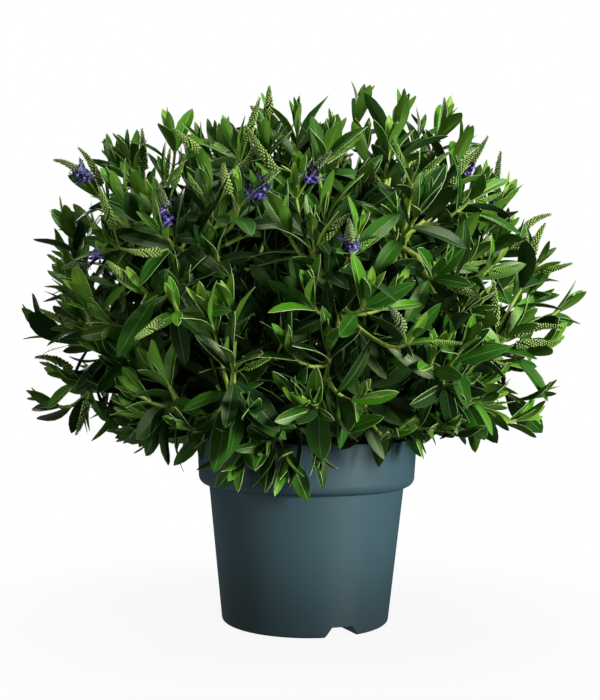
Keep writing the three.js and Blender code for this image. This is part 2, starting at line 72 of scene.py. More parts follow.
def linear(code):
    """An sRGB hex colour as a linear colour with alpha."""
    shares = [int(code[i : i + 2], 16) / 255 for i in (1, 3, 5)]
    return [*(s / 12.92 if s <= 0.04045 else ((s + 0.055) / 1.055) ** 2.4 for s in shares), 1.0]


def set_inputs(node, values):
    """Gives inputs of a node their values, or links them to the outputs of other nodes."""
    for socket, value in values.items():
        if isinstance(value, bpy.types.NodeSocket):
            node.id_data.links.new(value, node.inputs[socket])
        else:
            node.inputs[socket].default_value = value


def add_node(tree, kind, output, inputs=None, **settings):
    """Adds a node with its settings and inputs to a tree, and returns the output that is named."""
    node = tree.nodes.new(f"ShaderNode{kind}")
    for name, value in settings.items():
        setattr(node, name, value)
    set_inputs(node, inputs or {})
    return node.outputs[output]


def new_material(name, colour, **shader):
    """A material whose shader has these values on its own sockets, with its node tree and shader."""
    material = bpy.data.materials.new(name)
    material.use_nodes = True
    shading = material.node_tree.nodes["Principled BSDF"]
    set_inputs(shading, {"Base Color": linear(colour), **shader})
    return material, material.node_tree, shading


def new_object(name, data):
    added = bpy.data.objects.new(name, data)
    scene.collection.objects.link(added)
    return added


def start_piece(add_primitive, **settings):
    """A new primitive, which alone is selected, with its place and its size in its mesh."""
    bpy.ops.object.select_all(action="DESELECT")
    add_primitive(**settings)
    bpy.ops.object.transform_apply()
    return bpy.context.object


scene = bpy.context.scene
scene.view_settings.view_transform = "Standard"

camera = new_object("camera", bpy.data.cameras.new("camera"))
camera.data.lens = CAMERA_LENS
camera.location = CAMERA_PLACE
camera.rotation_euler = (math.radians(90 - CAMERA_DOWN), math.radians(CAMERA_ROLL), 0)
scene.camera = camera

for name, (place, across, watts) in SOFT_LIGHTS.items():
    light = new_object(name, bpy.data.lights.new(name, "AREA"))
    light.data.shape = "SQUARE"
    light.data.size = across
    light.data.energy = watts
    light.location = place
    light.rotation_euler = (AIM - Vector(place)).to_track_quat("-Z", "Y").to_euler()

scene.world = bpy.data.worlds.new("white_room")
scene.world.use_nodes = True
tree = scene.world.node_tree
rise = add_node(tree, "SeparateXYZ", "Z", {"Vector": add_node(tree, "TexCoord", "Generated")})
table = {"Value": rise, "From Min": TABLE_EDGE, "From Max": TABLE_FULL}
lit = add_node(tree, "MapRange", "Result", {**table, "To Min": SURROUND, "To Max": TABLE})
seen = add_node(tree, "LightPath", "Is Camera Ray")
strength = add_node(tree, "MapRange", "Result", {"Value": seen, "To Min": lit, "To Max": 1.0})
set_inputs(tree.nodes["Background"], {"Color": linear(WHITE), "Strength": strength})

# Matt paint has no gloss, so the floor shows nothing but the soft shadow of the pot.
floor = start_piece(bpy.ops.mesh.primitive_circle_add, vertices=64, radius=FLOOR_RADIUS, fill_type="NGON")
floor.name = "floor"
painted, tree, shading = new_material("matt_painted_floor", "#a4a4a2", Roughness=0.8)
place = add_node(tree, "TexCoord", "Object")
away = add_node(tree, "VectorMath", "Value", {0: place}, operation="LENGTH")
run_out = {"Value": away, "From Min": FLOOR_CLEAR, "From Max": FLOOR_RADIUS}
run_out |= {"To Min": FLOOR_FIRM, "To Max": 0.0}
share = add_node(tree, "MapRange", "Result", run_out, interpolation_type="SMOOTHERSTEP")
set_inputs(shading, {"Alpha": share})
floor.data.materials.append(painted)


# ---------------------------------------------------------------- grower's pot
# A thin-walled grower's pot of injection-moulded polypropylene, blue-grey, with a wide collar to lift
# and stack it by and three drainage channels across the foot. Its walls are drawn up ring by ring.
MM = 0.001
_, POT_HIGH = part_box("pot")
POT_HEIGHT = POT_HIGH.z
RIM_RADIUS = POT_HIGH.y
COLLAR_HEIGHT = 50 * MM
COLLAR_TAPER = 3 * MM
COLLAR_ROUND = 9.5 * MM
SHOULDER = 10 * MM
FOOT_RADIUS = 86.5 * MM
FOOT_ROUND = 4 * MM
WALL = 1.6 * MM
FLOOR_THICKNESS = 2 * MM
POT_SIDES = 120
POT_SMOOTH = 32  # degrees; sharper edges stay sharp
CHANNELS = 3
CHANNEL_TURN = -65
CHANNEL_HEIGHT = 10.5 * MM
CHANNEL_FOOT_WIDTH = 38 * MM
CHANNEL_ROOF_WIDTH = 23 * MM
CHANNEL_INNER_END = 38 * MM
CUTTER_PAST, CUTTER_BELOW = 12 * MM, 1 * MM  # how far the cutters stand out of the foot
DRAIN_RADIUS = 5 * MM
SEAM_HEIGHT = POT_HEIGHT - COLLAR_HEIGHT
COLLAR_FOOT = RIM_RADIUS - COLLAR_TAPER
WALL_TOP = COLLAR_FOOT - SHOULDER
SEAM_IN, SEAM_OUT = WALL_TOP - 0.8 * MM, WALL_TOP + 1.2 * MM  # where the wall turns out to the collar
# The last of these colours is painted shade, which darkens the wall towards its foot.
POT_GREY, POT_SHADE, POT_PAINTED_SHADE = "#3e5a61", "#355058", "#253a40"
PAINTED_SHADE_HEIGHT = 105 * MM  # up to which painted shade darkens the wall, most of all at its foot
STREAK_WIDTH = 33.3 * MM
STREAK_LENGTH = 4  # as a number of widths
MOULD_GRAIN = 0.35 * MM  # the sparked grain of the mould; drawn twice as coarse as it is


def arc(middle, radius, start, end, steps):
    """Points of an arc in the (distance from the axis, height) plane, from one angle to another."""
    turns = [math.radians(start + (end - start) * i / steps) for i in range(steps + 1)]
    return [(middle[0] + radius * math.cos(t), middle[1] + radius * math.sin(t)) for t in turns]


def pot_outline(inset, foot, top):
    """Half of the pot's section, `inset` from its outside, as (distance from the axis, height)."""
    step = SEAM_HEIGHT + inset
    lip = WALL / 2 if inset == 0 else 0
    return [
        *arc((FOOT_RADIUS - FOOT_ROUND - inset, foot + FOOT_ROUND), FOOT_ROUND, -90, -4, 5),
        (SEAM_IN - inset, step),
        (SEAM_OUT - inset, step),
        *arc((COLLAR_FOOT - COLLAR_ROUND - inset, step + COLLAR_ROUND), COLLAR_ROUND, -78, 0, 7),
        (RIM_RADIUS - lip - inset, top - lip),
        (RIM_RADIUS - 2 * lip - inset, top),
    ]


def turned(outline):
    """A closed solid turned about the axis: a disc is drawn up and in or out, ring by ring."""
    radius, height = outline[0]
    disc = {"vertices": POT_SIDES, "radius": radius, "fill_type": "NGON", "location": (0, 0, height)}
    solid = start_piece(bpy.ops.mesh.primitive_circle_add, **disc)
    bpy.ops.object.mode_set(mode="EDIT")
    for (r0, z0), (r1, z1) in zip(outline, outline[1:]):
        bpy.ops.mesh.extrude_region_move(TRANSFORM_OT_translate={"value": (0, 0, z1 - z0)})
        ratio = r1 / r0
        bpy.ops.transform.resize(value=(ratio, ratio, 1), center_override=(0, 0, z1))
    bpy.ops.mesh.select_all(action="SELECT")
    bpy.ops.mesh.normals_make_consistent(inside=False)
    bpy.ops.object.mode_set(mode="OBJECT")
    return solid


def channel(turn, grown):
    """A bar of trapezoid section that points outwards under the foot, `grown` larger all round."""
    length = FOOT_RADIUS + CUTTER_PAST - CHANNEL_INNER_END + grown
    height = CHANNEL_HEIGHT + grown + CUTTER_BELOW
    middle = (CHANNEL_INNER_END - grown + length / 2, 0, height / 2 - CUTTER_BELOW)
    bar = start_piece(bpy.ops.mesh.primitive_cube_add, size=1, location=middle, scale=(length, 1, height))
    for vertex in bar.data.vertices:
        width = CHANNEL_ROOF_WIDTH if vertex.co.z > 0 else CHANNEL_FOOT_WIDTH
        vertex.co.y = math.copysign(width / 2 + grown, vertex.co.y)
    bar.rotation_euler.z = math.radians(turn)
    bpy.ops.object.transform_apply()
    return bar


def drain_hole(turn):
    away = (CHANNEL_INNER_END + FOOT_RADIUS) / 2
    t = math.radians(turn)
    place = (away * math.cos(t), away * math.sin(t), CHANNEL_HEIGHT)
    pin = {"vertices": 24, "radius": DRAIN_RADIUS, "depth": 8 * WALL, "location": place}
    return start_piece(bpy.ops.mesh.primitive_cylinder_add, **pin)


def choose(piece):
    """Makes a piece the only one that is selected."""
    bpy.ops.object.select_all(action="DESELECT")
    bpy.context.view_layer.objects.active = piece
    piece.select_set(True)


def cut(body, tool):
    """Cuts a solid by another, which is used up."""
    choose(body)
    cutting = body.modifiers.new("cut", "BOOLEAN")
    cutting.operation = "DIFFERENCE"
    cutting.solver = "EXACT"
    cutting.object = tool
    bpy.ops.object.modifier_apply(modifier="cut")
    bpy.data.objects.remove(tool)


def skin_relief(tree, size, detail, strength, depth):
    """A fine uneven surface with lumps of this size: how high each place is, and its normals."""
    lumps = {"Vector": add_node(tree, "TexCoord", "Object"), "Scale": 1 / size, "Detail": detail}
    height = add_node(tree, "TexNoise", "Fac", lumps)
    bump = {"Height": height, "Strength": strength, "Distance": depth}
    return height, add_node(tree, "Bump", "Normal", bump)


channel_turns = [CHANNEL_TURN + i * 360 / CHANNELS for i in range(CHANNELS)]
hollow = turned(pot_outline(WALL, FLOOR_THICKNESS, POT_HEIGHT + 2 * MM))
pot = turned(pot_outline(0, 0, POT_HEIGHT))
pot.name = "grower_pot"
for turn in channel_turns:
    cut(hollow, channel(turn, WALL))
cut(pot, hollow)
for turn in channel_turns:
    cut(pot, channel(turn, 0))
    cut(pot, drain_hole(turn))
bpy.ops.object.shade_smooth_by_angle(angle=math.radians(POT_SMOOTH))

# Polypropylene scatters light in its skin, so it looks soft and slightly waxy. The mould was sparked,
# which leaves a fine even grain, and the plastic flowed up from the foot, which leaves faint streaks.
plastic, tree, shading = new_material("moulded_polypropylene", POT_GREY, IOR=1.49, Roughness=0.46)
place = add_node(tree, "TexCoord", "Object")
flowed = add_node(tree, "Mapping", "Vector", {"Vector": place, "Scale": (1, 1, 1 / STREAK_LENGTH)})
streaks = add_node(tree, "TexNoise", "Fac", {"Vector": flowed, "Scale": 1 / STREAK_WIDTH, "Detail": 3.0})
tints = {"Factor": streaks, "A": linear(POT_GREY), "B": linear(POT_SHADE)}
streaked = add_node(tree, "Mix", "Result", tints, data_type="RGBA")
height = add_node(tree, "SeparateXYZ", "Z", {"Vector": place})
# Painted shade: below a set height the wall's colour darkens smoothly towards its foot.
painted_shade_fade = {"Value": height, "From Min": 0.0, "From Max": PAINTED_SHADE_HEIGHT}
outside_painted_shade = add_node(tree, "MapRange", "Result", painted_shade_fade, interpolation_type="SMOOTHSTEP")
tints = {"Factor": outside_painted_shade, "A": linear(POT_PAINTED_SHADE), "B": streaked}
colour = add_node(tree, "Mix", "Result", tints, data_type="RGBA")
dull = {"Value": streaks, "From Min": 0.3, "From Max": 0.7, "To Min": 0.42, "To Max": 0.52}
dulled = add_node(tree, "MapRange", "Result", dull)
_, grained = skin_relief(tree, 2 * MOULD_GRAIN, 1.0, 0.25, 0.1 * MM)
set_inputs(shading, {"Base Color": colour, "Roughness": dulled, "Normal": grained})
pot.data.materials.append(plastic)
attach(pot, "root")
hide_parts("pot")


# ---------------------------------------------------------------- potting soil
# Moist peat with bark fibre, dark brown and crumbly, a thumb's width below the rim. Its body fills the
# pot, and its surface is a bed of crumbs of many sizes, each a small rough stone-like lump.
_, SOIL_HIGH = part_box("potting_soil")
CRUMBS = 1500
CRUMB_SIZES = (0.9 * MM, 3.6 * MM)
CRUMB_FINENESS = 2.5  # the higher it is, the fewer crumbs are large
CRUMB_SHAPE = (1.0, 0.8, 0.6)
CRUMB_ROUGHNESS = (0.65, 1.2)  # between which its corners stand out
CRUMB_HEAP = 1.5 * MM  # how unevenly the crumbs lie
CRUMB_STAND = 0.2  # how far its middle is above the bed, as a share of its size
CRUMB_SMOOTH = 50  # degrees
SOIL_EDGE = 12 * MM  # clear of crumbs, round the edge
CLOD_SIZE = 4.55 * MM
PEAT_DARK, PEAT_LIGHT = "#17100b", "#3c2a1c"
draw = np.random.default_rng(7)


def make_piece(name, corners, triangles, materials, smooth, kinds=None):
    """A mesh object from corners in metres and triangles, with the material of each triangle."""
    mesh = bpy.data.meshes.new(name)
    mesh.from_pydata(corners, [], triangles)
    for material in materials:
        mesh.materials.append(material)
    if kinds is not None:
        mesh.polygons.foreach_set("material_index", kinds)
    mesh.validate()
    piece = new_object(name, mesh)
    choose(piece)
    bpy.ops.object.shade_smooth_by_angle(angle=math.radians(smooth))
    return piece


def blank_of(modelled):
    """The corners, triangles and face kinds of a shape modelled once, which is then put away."""
    bpy.ops.object.mode_set(mode="EDIT")
    bpy.ops.mesh.select_all(action="SELECT")
    bpy.ops.mesh.quads_convert_to_tris()
    bpy.ops.object.mode_set(mode="OBJECT")
    mesh = modelled.data
    corners = np.array([v.co for v in mesh.vertices])
    triangles = np.array([p.vertices for p in mesh.polygons])
    kinds = np.array([p.material_index for p in mesh.polygons])
    bpy.data.objects.remove(modelled)
    return corners, triangles, kinds


def stamped(corners, triangles):
    """Copies of a shape as one: `corners` holds each copy's own corners."""
    count, per_copy = corners.shape[:2]
    shifted = triangles[None] + per_copy * np.arange(count)[:, None, None]
    return corners.reshape(-1, 3), shifted.reshape(-1, 3)


def spun(count):
    """Evenly spread random rotations, as matrices."""
    return np.array([Quaternion(q).normalized().to_matrix() for q in draw.normal(size=(count, 4))])


lump, lump_faces, _ = blank_of(start_piece(bpy.ops.mesh.primitive_ico_sphere_add, subdivisions=1, radius=1))
finest, largest = CRUMB_SIZES
sizes = finest + (largest - finest) * draw.random(CRUMBS) ** CRUMB_FINENESS
away = (SOIL_HIGH.x - SOIL_EDGE) * np.sqrt(draw.random(CRUMBS))
turns = 2 * math.pi * draw.random(CRUMBS)
rough = lump[None] * draw.uniform(*CRUMB_ROUGHNESS, (CRUMBS, len(lump), 1)) * sizes[:, None, None]
rough = np.einsum("nij,nvj->nvi", spun(CRUMBS), rough * CRUMB_SHAPE)
height = SOIL_HIGH.z + CRUMB_STAND * sizes + CRUMB_HEAP * draw.random(CRUMBS)
beds = np.stack([away * np.cos(turns), away * np.sin(turns), height], 1)

# Peat drinks the light: it is dark, has hardly any gloss, and its fibres make it mottled and rough.
peat, tree, shading = new_material("moist_peat", PEAT_DARK, Roughness=0.93, IOR=1.4)
clods, rugged = skin_relief(tree, CLOD_SIZE, 4.0, 0.8, 1.0 * MM)
tints = {"Factor": clods, "A": linear(PEAT_DARK), "B": linear(PEAT_LIGHT)}
mottled = add_node(tree, "Mix", "Result", tints, data_type="RGBA")
set_inputs(shading, {"Base Color": mottled, "Normal": rugged})
bed, bed_faces = stamped(rough + beds[:, None], lump_faces)
crumbs = make_piece("peat_crumbs", bed, bed_faces, [peat], CRUMB_SMOOTH)
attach(crumbs, "root")
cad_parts["potting_soil"].data.materials.clear()
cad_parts["potting_soil"].data.materials.append(peat)


# ---------------------------------------------------------------- main stem, limbs and boughs
# The plant's wood. The main stem is brown and furrowed and swells where it meets the soil. The leader,
# the limbs and the boughs are younger: olive green, smoother, ringed where old leaf pairs fell.
SOIL_TOP = SOIL_HIGH.z / MM
GAP = 0.3
STEM_HEIGHT = 48
STEM_RADIUS = 9.5
STEM_FLARE, FLARE_FADE = 6, 6  # how much wider its foot is, and how soon that is gone
STEM_LEAN = 4
STEM_SLIMMING = 0.95  # of the bare stem, so that its furrowed bark comes to its real size
STEM_STEPS, LEADER_STEPS, LIMB_STEPS, BOUGH_STEPS = 34, 44, 48, 60
STEM_SIDES, LIMB_SIDES, BOUGH_SIDES = 44, 14, 12
LIMBS = 6
LIMB_TURN = 15
LIMB_REACH = 62
LIMB_RISE = 27
LEAST_RISE, RISE_SPREAD = 0.7, 0.6  # the lowest limb's share of that, and what chance can add
LEADER_RISE = 58
LIMB_RADII = (5.2, 4.2)
BOUGH_RADII = (3.6, 2.7)
BOUGH_HANDLES = (0.3, 0.35)  # of its curve, as shares of its span
CROWN_CENTRE = np.array([0, 0, 290.0])
CROWN_SIDE = 285  # its reach to the sides
CROWN_TOP_DROP = 18  # how much less that is at the top
CROWN_SHOULDER = 10  # how much more half-way up
CROWN_SKIRT_DROP = 55  # how much less at the lowest tips
LOWEST_TIP = -31  # degrees
CROWN_TURN = 120
GOLDEN_ANGLE = 137.508
MASSES = 16
LOWEST_MASS = -17  # degrees
LEADER_MASSES = 4
FORK_BAND = 0.3  # the last share of the main stem, leader or limb, in which the next ones leave it
MASS_BASE, MASS_CENTRE = 0.41, 0.78  # where a mass starts and has its middle, as shares of the reach
UP = np.array([0, 0, 1.0])
LEVEL = np.array([1, 1, 0])
RING_SPACING = 17  # from one ring of leaf scars to the next
RING_WIDTH = 1.6
RING_HEIGHT = 0.16  # as a share of the limb's radius
STEM_FURROW, YOUNG_FURROW = 0.09, 0.02  # how deep the furrows are, likewise
FURROWS = 11  # round the main stem
FURROW_WANDER = 1.3  # radians
FURROW_LUMPS = 0.8  # how uneven the ridges between them are
MEAN_RIDGE = 0.6
CRACK_WIDTH = 2.38 * MM
CRACK_LENGTH = 10 / 3  # as a number of widths
PATCH_SIZE = 16.7 * MM
WOOD_SMOOTH = 60  # degrees


def chance(index, salt):
    """A number from 0 to 1 that is always the same for the same index and salt."""
    wave = math.sin(index * 12.9898 + salt * 78.233) * 43758.5453
    return wave - math.floor(wave)


def heading(turn, rise):
    t, r = math.radians(turn), math.radians(rise)
    return np.array([math.cos(t) * math.cos(r), math.sin(t) * math.cos(r), math.sin(r)])


def unit(vector):
    return vector / np.linalg.norm(vector, axis=-1, keepdims=True)


def crown_reach(direction):
    """How far the crown reaches from its centre towards a direction."""
    rise = math.asin(max(-1.0, min(1.0, direction[2])))
    if rise < 0:
        return CROWN_SIDE - CROWN_SKIRT_DROP * rise / math.radians(LOWEST_TIP)
    return CROWN_SIDE + CROWN_SHOULDER * math.sin(2 * rise) ** 2 - CROWN_TOP_DROP * math.sin(rise) ** 4


def crown_direction(i, count, lowest):
    """The i-th of `count` directions spread evenly over the crown by the golden angle, top down."""
    height = 1 - (1 - math.sin(math.radians(lowest))) * (i + 0.5) / count
    return heading(CROWN_TURN + i * GOLDEN_ANGLE, math.degrees(math.asin(height)))


def bezier(controls, steps):
    """Evenly spaced points along a Bezier curve."""
    t = np.linspace(0, 1, 4 * steps + 1)[:, None]
    layers = [np.asarray(c, float)[None] for c in controls]
    while len(layers) > 1:
        layers = [a + (b - a) * t for a, b in zip(layers, layers[1:])]
    dense = layers[0]
    travelled = np.append(0, np.cumsum(np.linalg.norm(np.diff(dense, axis=0), axis=1)))
    even = np.linspace(0, travelled[-1], steps + 1)
    return np.stack([np.interp(even, travelled, dense[:, k]) for k in range(3)], 1)


def point_at(line, share):
    at = share * (len(line) - 1)
    return np.array([np.interp(at, np.arange(len(line)), line[:, k]) for k in range(3)])


def heading_at(line, share):
    """Which way a line runs at a share of its length."""
    step = 0.5 / (len(line) - 1)
    return unit(point_at(line, min(1, share + step)) - point_at(line, max(0, share - step)))


def swept(line, radii, sides):
    """A closed tube along a line, a ring at each of its points: corners and triangles."""
    ways = unit(np.gradient(line, axis=0))
    side = unit(np.cross(ways[0], [0.31, 0.95, 0.07]))
    turns = 2 * np.pi * np.arange(sides) / sides
    rings = []
    for point, way, radius in zip(line, ways, radii):
        side = unit(side - way * (side @ way))
        other = np.cross(way, side)
        spokes = np.cos(turns)[:, None] * side + np.sin(turns)[:, None] * other
        rings.append(point + spokes * np.reshape(radius, (-1, 1)))
    corners = np.concatenate([*rings, line[:1], line[-1:]])
    k = np.arange(sides)
    nxt = (k + 1) % sides
    faces = []
    for i in range(len(line) - 1):
        a, b = i * sides, (i + 1) * sides
        faces.append(np.stack([a + k, a + nxt, b + nxt], 1))
        faces.append(np.stack([a + k, b + nxt, b + k], 1))
    first, last = len(corners) - 2, len(corners) - 1
    top = (len(line) - 1) * sides
    faces.append(np.stack([np.full(sides, first), nxt, k], 1))
    faces.append(np.stack([np.full(sides, last), top + k, top + nxt], 1))
    return corners, np.concatenate(faces)


def wood_relief(line, radii, sides, furrow, ringed):
    """Each ring's radius all round: furrows along the limb, and a swelling at each ring of scars."""
    along = np.append(0, np.cumsum(np.linalg.norm(np.diff(line, axis=0), axis=1)))
    turns = 2 * np.pi * np.arange(sides) / sides
    relief = []
    for travelled, radius, point in zip(along, radii, line):
        wander = FURROW_WANDER * noise.noise(Vector(point) * 0.05)
        ridges = [
            abs(math.sin(0.5 * FURROWS * (turn + wander)))
            + FURROW_LUMPS * noise.noise(Vector((math.cos(turn) * 2, math.sin(turn) * 2, travelled * 0.15)))
            for turn in turns
        ]
        from_scar = abs((travelled + RING_SPACING / 2) % RING_SPACING - RING_SPACING / 2)
        swelling = ringed * math.exp(-((from_scar / RING_WIDTH) ** 2))
        relief.append(radius * (1 + furrow * (np.array(ridges) - MEAN_RIDGE) + swelling))
    return relief


def bark_material(name, dark, light, scar):
    """Dull, dry bark: the dark colour shows in its fine cracks, the light one between, in patches."""
    material, tree, shading = new_material(name, light, Roughness=0.78, IOR=1.45)
    place = add_node(tree, "TexCoord", "Object")
    long = add_node(tree, "Mapping", "Vector", {"Vector": place, "Scale": (1, 1, 1 / CRACK_LENGTH)})
    cracks = add_node(tree, "TexNoise", "Fac", {"Vector": long, "Scale": 1 / CRACK_WIDTH, "Detail": 5.0})
    patches = add_node(tree, "TexNoise", "Fac", {"Vector": place, "Scale": 1 / PATCH_SIZE, "Detail": 2.0})
    sound = add_node(tree, "MapRange", "Result", {"Value": cracks, "From Min": 0.36, "From Max": 0.6})
    tints = {"Factor": sound, "A": linear(dark), "B": linear(light)}
    cracked = add_node(tree, "Mix", "Result", tints, data_type="RGBA")
    tints = {"Factor": patches, "A": cracked, "B": linear(scar)}
    patched = add_node(tree, "Mix", "Result", tints, data_type="RGBA")
    rugged = add_node(tree, "Bump", "Normal", {"Height": sound, "Strength": 0.6, "Distance": 0.4 * MM})
    set_inputs(shading, {"Base Color": patched, "Normal": rugged})
    return material


old_bark = bark_material("furrowed_brown_bark", "#2a1f15", "#6d5a40", "#57503a")
young_bark = bark_material("smooth_olive_bark", "#6a6a2e", "#a0a854", "#8d8746")


def add_limb(node, line, radii, sides, furrow, ringed, material):
    """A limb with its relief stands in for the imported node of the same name."""
    relief = wood_relief(line, radii, sides, furrow, ringed)
    corners, triangles = swept(line, relief, sides)
    piece = make_piece(f"{node}_bark", corners * MM, triangles, [material], WOOD_SMOOTH)
    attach(piece, "root")
    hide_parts(node)


def add_young_limb(node, line, radii, sides):
    tapering = np.linspace(*radii, len(line))
    add_limb(node, line, tapering, sides, YOUNG_FURROW, RING_HEIGHT, young_bark)


stem_head = np.array([STEM_LEAN, 0, SOIL_TOP + STEM_HEIGHT])
stem_handle = (0, 0, SOIL_TOP + STEM_HEIGHT / 2)
stem_line = bezier([(0, 0, SOIL_TOP + GAP), stem_handle, stem_head], STEM_STEPS)
flare = STEM_FLARE * np.exp(-FLARE_FADE * np.linspace(0, 1, STEM_STEPS + 1))
stem_radii = STEM_RADIUS * STEM_SLIMMING + flare
add_limb("main_stem", stem_line, stem_radii, STEM_SIDES, STEM_FURROW, 0, old_bark)

leader_line = bezier([stem_head - UP * STEM_RADIUS, stem_head + UP * LEADER_RISE], LEADER_STEPS)
add_young_limb("leader", leader_line, LIMB_RADII, LIMB_SIDES)

limb_lines = []
for i in range(LIMBS):
    outward = heading(LIMB_TURN + i * 360 / LIMBS, 0)
    start = stem_head - UP * (FORK_BAND * STEM_HEIGHT * chance(i, 1) + LIMB_RADII[0])
    tip = start + outward * LIMB_REACH
    tip[2] = stem_head[2] + LIMB_RISE * (LEAST_RISE + RISE_SPREAD * chance(i, 2))
    elbow = start + outward * LIMB_REACH / 2
    limb_lines.append(bezier([start, elbow, tip], LIMB_STEPS))
    add_young_limb(f"limb_{i + 1}", limb_lines[-1], LIMB_RADII, LIMB_SIDES)

masses = []
for i in range(MASSES):
    direction = crown_direction(i, MASSES, LOWEST_MASS)
    reach = crown_reach(direction)
    base = CROWN_CENTRE + direction * MASS_BASE * reach
    centre = CROWN_CENTRE + direction * MASS_CENTRE * reach
    masses.append(SimpleNamespace(direction=direction, base=base, centre=centre, tips=[], node=i + 1))

for i, mass in enumerate(masses):
    flat = unit(mass.direction * LEVEL)
    nearest = max(limb_lines, key=lambda line: unit(heading_at(line, 0) * LEVEL) @ flat)
    parent = leader_line if i < LEADER_MASSES else nearest
    start = point_at(parent, 1 - FORK_BAND * chance(i, 3))
    span = np.linalg.norm(mass.base - start)
    first = start + heading_at(parent, 1) * span * BOUGH_HANDLES[0]
    last = mass.base - mass.direction * span * BOUGH_HANDLES[1]
    mass.bough = bezier([start, first, last, mass.base], BOUGH_STEPS)
    add_young_limb(f"bough_{mass.node:02d}", mass.bough, BOUGH_RADII, BOUGH_SIDES)


# ---------------------------------------------------------------- shoots and twigs
# Each mass has one stem that grows on from its bough, with shoots that leave it for tips spread evenly
# over the crown. Finer twigs leave the shoots for tips of their own. All are green wood, ringed at
# every pair of leaves. The longest stand out of the even crown, as on the real plant.
SKIRT_HEIGHT = 205  # of the crown's flat underside, at the two sides
SKIRT_LIFT = 4  # how much higher it is at the front and the back
TIPS = 59
TIP_PULL = 0.1  # how far a tip is drawn to the middle of its mass
TIP_SCATTER = 5  # degrees
REACH_SCATTER, FAR_SHARE = 0.07, 0.8  # how much the reach of tips differs, and how many fall short
TIP_LEAF_REACH = 38  # how far the leaves stand out past the tip
TIP_RISE, STEEP_LOSS = 0.9, 0.5  # how strongly the ends turn up to the light, and the steep ones less
SHOOT_RADII = (2.7, 1.6)
TWIG_RADII = (2.1, 1.4)
TWIG_SIDES = 6
LOWEST_FORK, FORK_SPREAD = 0.12, 0.5  # of the stem, where the shoots leave it
FORK_BACK = 12  # how far back from its shoot's tip a twig leaves it at the least
BACK_SHARE, BACK_SPREAD = 0.75, 0.5  # what is added for each millimetre between the two tips
LEAVING = 0.25  # how far a shoot first follows its stem
FIRST_HANDLE, LAST_HANDLE = 0.4, 0.35  # of a shoot's curve, as shares of its span
SHOOT_ARCH, TWIG_ARCH = 0.1, 0.16
STEM_BITS, SHOOT_BITS, TWIG_BITS = 20, 16, 12  # in how many straight steps they are drawn
OUTER_TIPS, INNER_TIPS = 170, 340
OUTER_REACH, OUTER_DEPTH = 0.98, 0.16  # where the outer twigs end, as shares of the crown's reach
INNER_REACH, INNER_DEPTH = 0.84, 0.3  # the same for the shaded twigs inside
LOWEST_INNER_TIP = -50
FLOWERS_ABOVE = -5  # degrees; no shoot that points lower flowers
FLOWERING_TWIGS = 0.12  # the share of the outer twigs that flower
LOW_TWIGS = 44  # that spread low over the rim, under all the others
LOW_TWIG_REACH = 150
LEAST_LOW, LOW_SPREAD = 0.75, 0.4  # the shortest one's share of that, and what chance can add
LOW_TWIG_BAND = 22  # above the crown's underside, in which they end
STEEP_DOWN = -0.4  # a twig that points farther down than this hangs to its very tip
EVEN_SHARE, TOP_LOSS = 0.95, 0.03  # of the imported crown's reach
SUNNY_WAY = (180, 35)  # degrees round and up, where the growth is strongest
SUNNY_GAIN, LEE_LOSS = 0.09, 0.06
CLEAR_OF_LONG = 5.0  # degrees that evenly spread tips keep from the long shoots
EVEN_SEED, STANDING_SEED, RACEME_SEED, LOW_SEED = 200, 900, 940, 980
LONG_SHOOTS = [  # degrees round from +X, degrees above level, and the reach of their leaves
    (188, 36, 306), (186, -10, 298), (184, 7, 298), (-4, 11, 292),
    (-95, -37, 228), (-84, -36, 218), (205, -22, 220), (-20, -22, 232),
]
STANDING_TWIGS = [  # the same for twigs that stand out of the crown
    (-127, 73, 262), (-38, 76, 268), (-41, 63, 269), (-27, 61, 268), (-16, 59, 284), (-21, 52, 272),
    (-19, 44, 262), (-8, 38, 266), (-7, 29, 252), (-14, 18, 264), (-14, 5, 258), (-9, -7, 254),
    (-15, -13, 248), (-165, 46, 288), (-158, 55, 278), (-140, 56, 256), (-171, 27, 294),
    (-164, 16, 270), (-167, -3, 270), (-164, -12, 236), (-149, -17, 208), (-31, -20, 210),
    (-112, -34, 220), (-103, -31, 216), (-54, -27, 196), (-119, -24, 220), (-138, -30, 190),
    (-128, -24, 216),
    (168, 30, 296), (-176, 44, 292), (30, -18, 240), (150, -18, 240), (60, -20, 236), (90, -24, 232),
    (120, -20, 236),
]
STANDING_OVER = 7  # what the leaves' spread takes off that reach
RACEME_TWIGS = [  # the same for twigs whose racemes stand in the open, and the share of them in flower
    (-143, 25, 285, 0.35), (-124, 26, 285, 0.5), (-107, 33, 286, 0.6), (-94, 36, 282, 0.45),
    (-80, 25, 284, 0.15), (-62, 40, 284, 0), (-40, 38, 284, 0), (-22, 22, 284, 0), (-48, 20, 284, 0),
    (-133, 40, 284, 0), (-156, 18, 284, 0), (-118, 12, 282, 0), (-70, 6, 282, 0),
    (60, 35, 284, 0.5), (150, 40, 284, 0.4), (20, 48, 284, 0.3), (95, 30, 284, 0), (120, 50, 284, 0.5),
]


def scatter(index, salt):
    """The same from -1 to 1."""
    return 2 * chance(index, salt) - 1


def too_low(point, hang=0.0):
    """Whether a point is under the crown's skirt, which hangs lowest at the two sides."""
    front = abs(point[1]) / (math.hypot(point[0], point[1]) + 1)
    return point[2] < SKIRT_HEIGHT + SKIRT_LIFT * front**2 - hang


def length_of(line):
    return np.linalg.norm(np.diff(line, axis=0), axis=1).sum()


def outline_reach(direction):
    """The reach of the even growth between the shoots that stand out. It is lopsided, as plants are."""
    sunny = max(0.0, direction @ heading(*SUNNY_WAY))
    share = EVEN_SHARE + SUNNY_GAIN * sunny**8 - LEE_LOSS * max(0.0, direction[0])
    return crown_reach(direction) * (share - TOP_LOSS * max(0.0, direction[2]) ** 2)


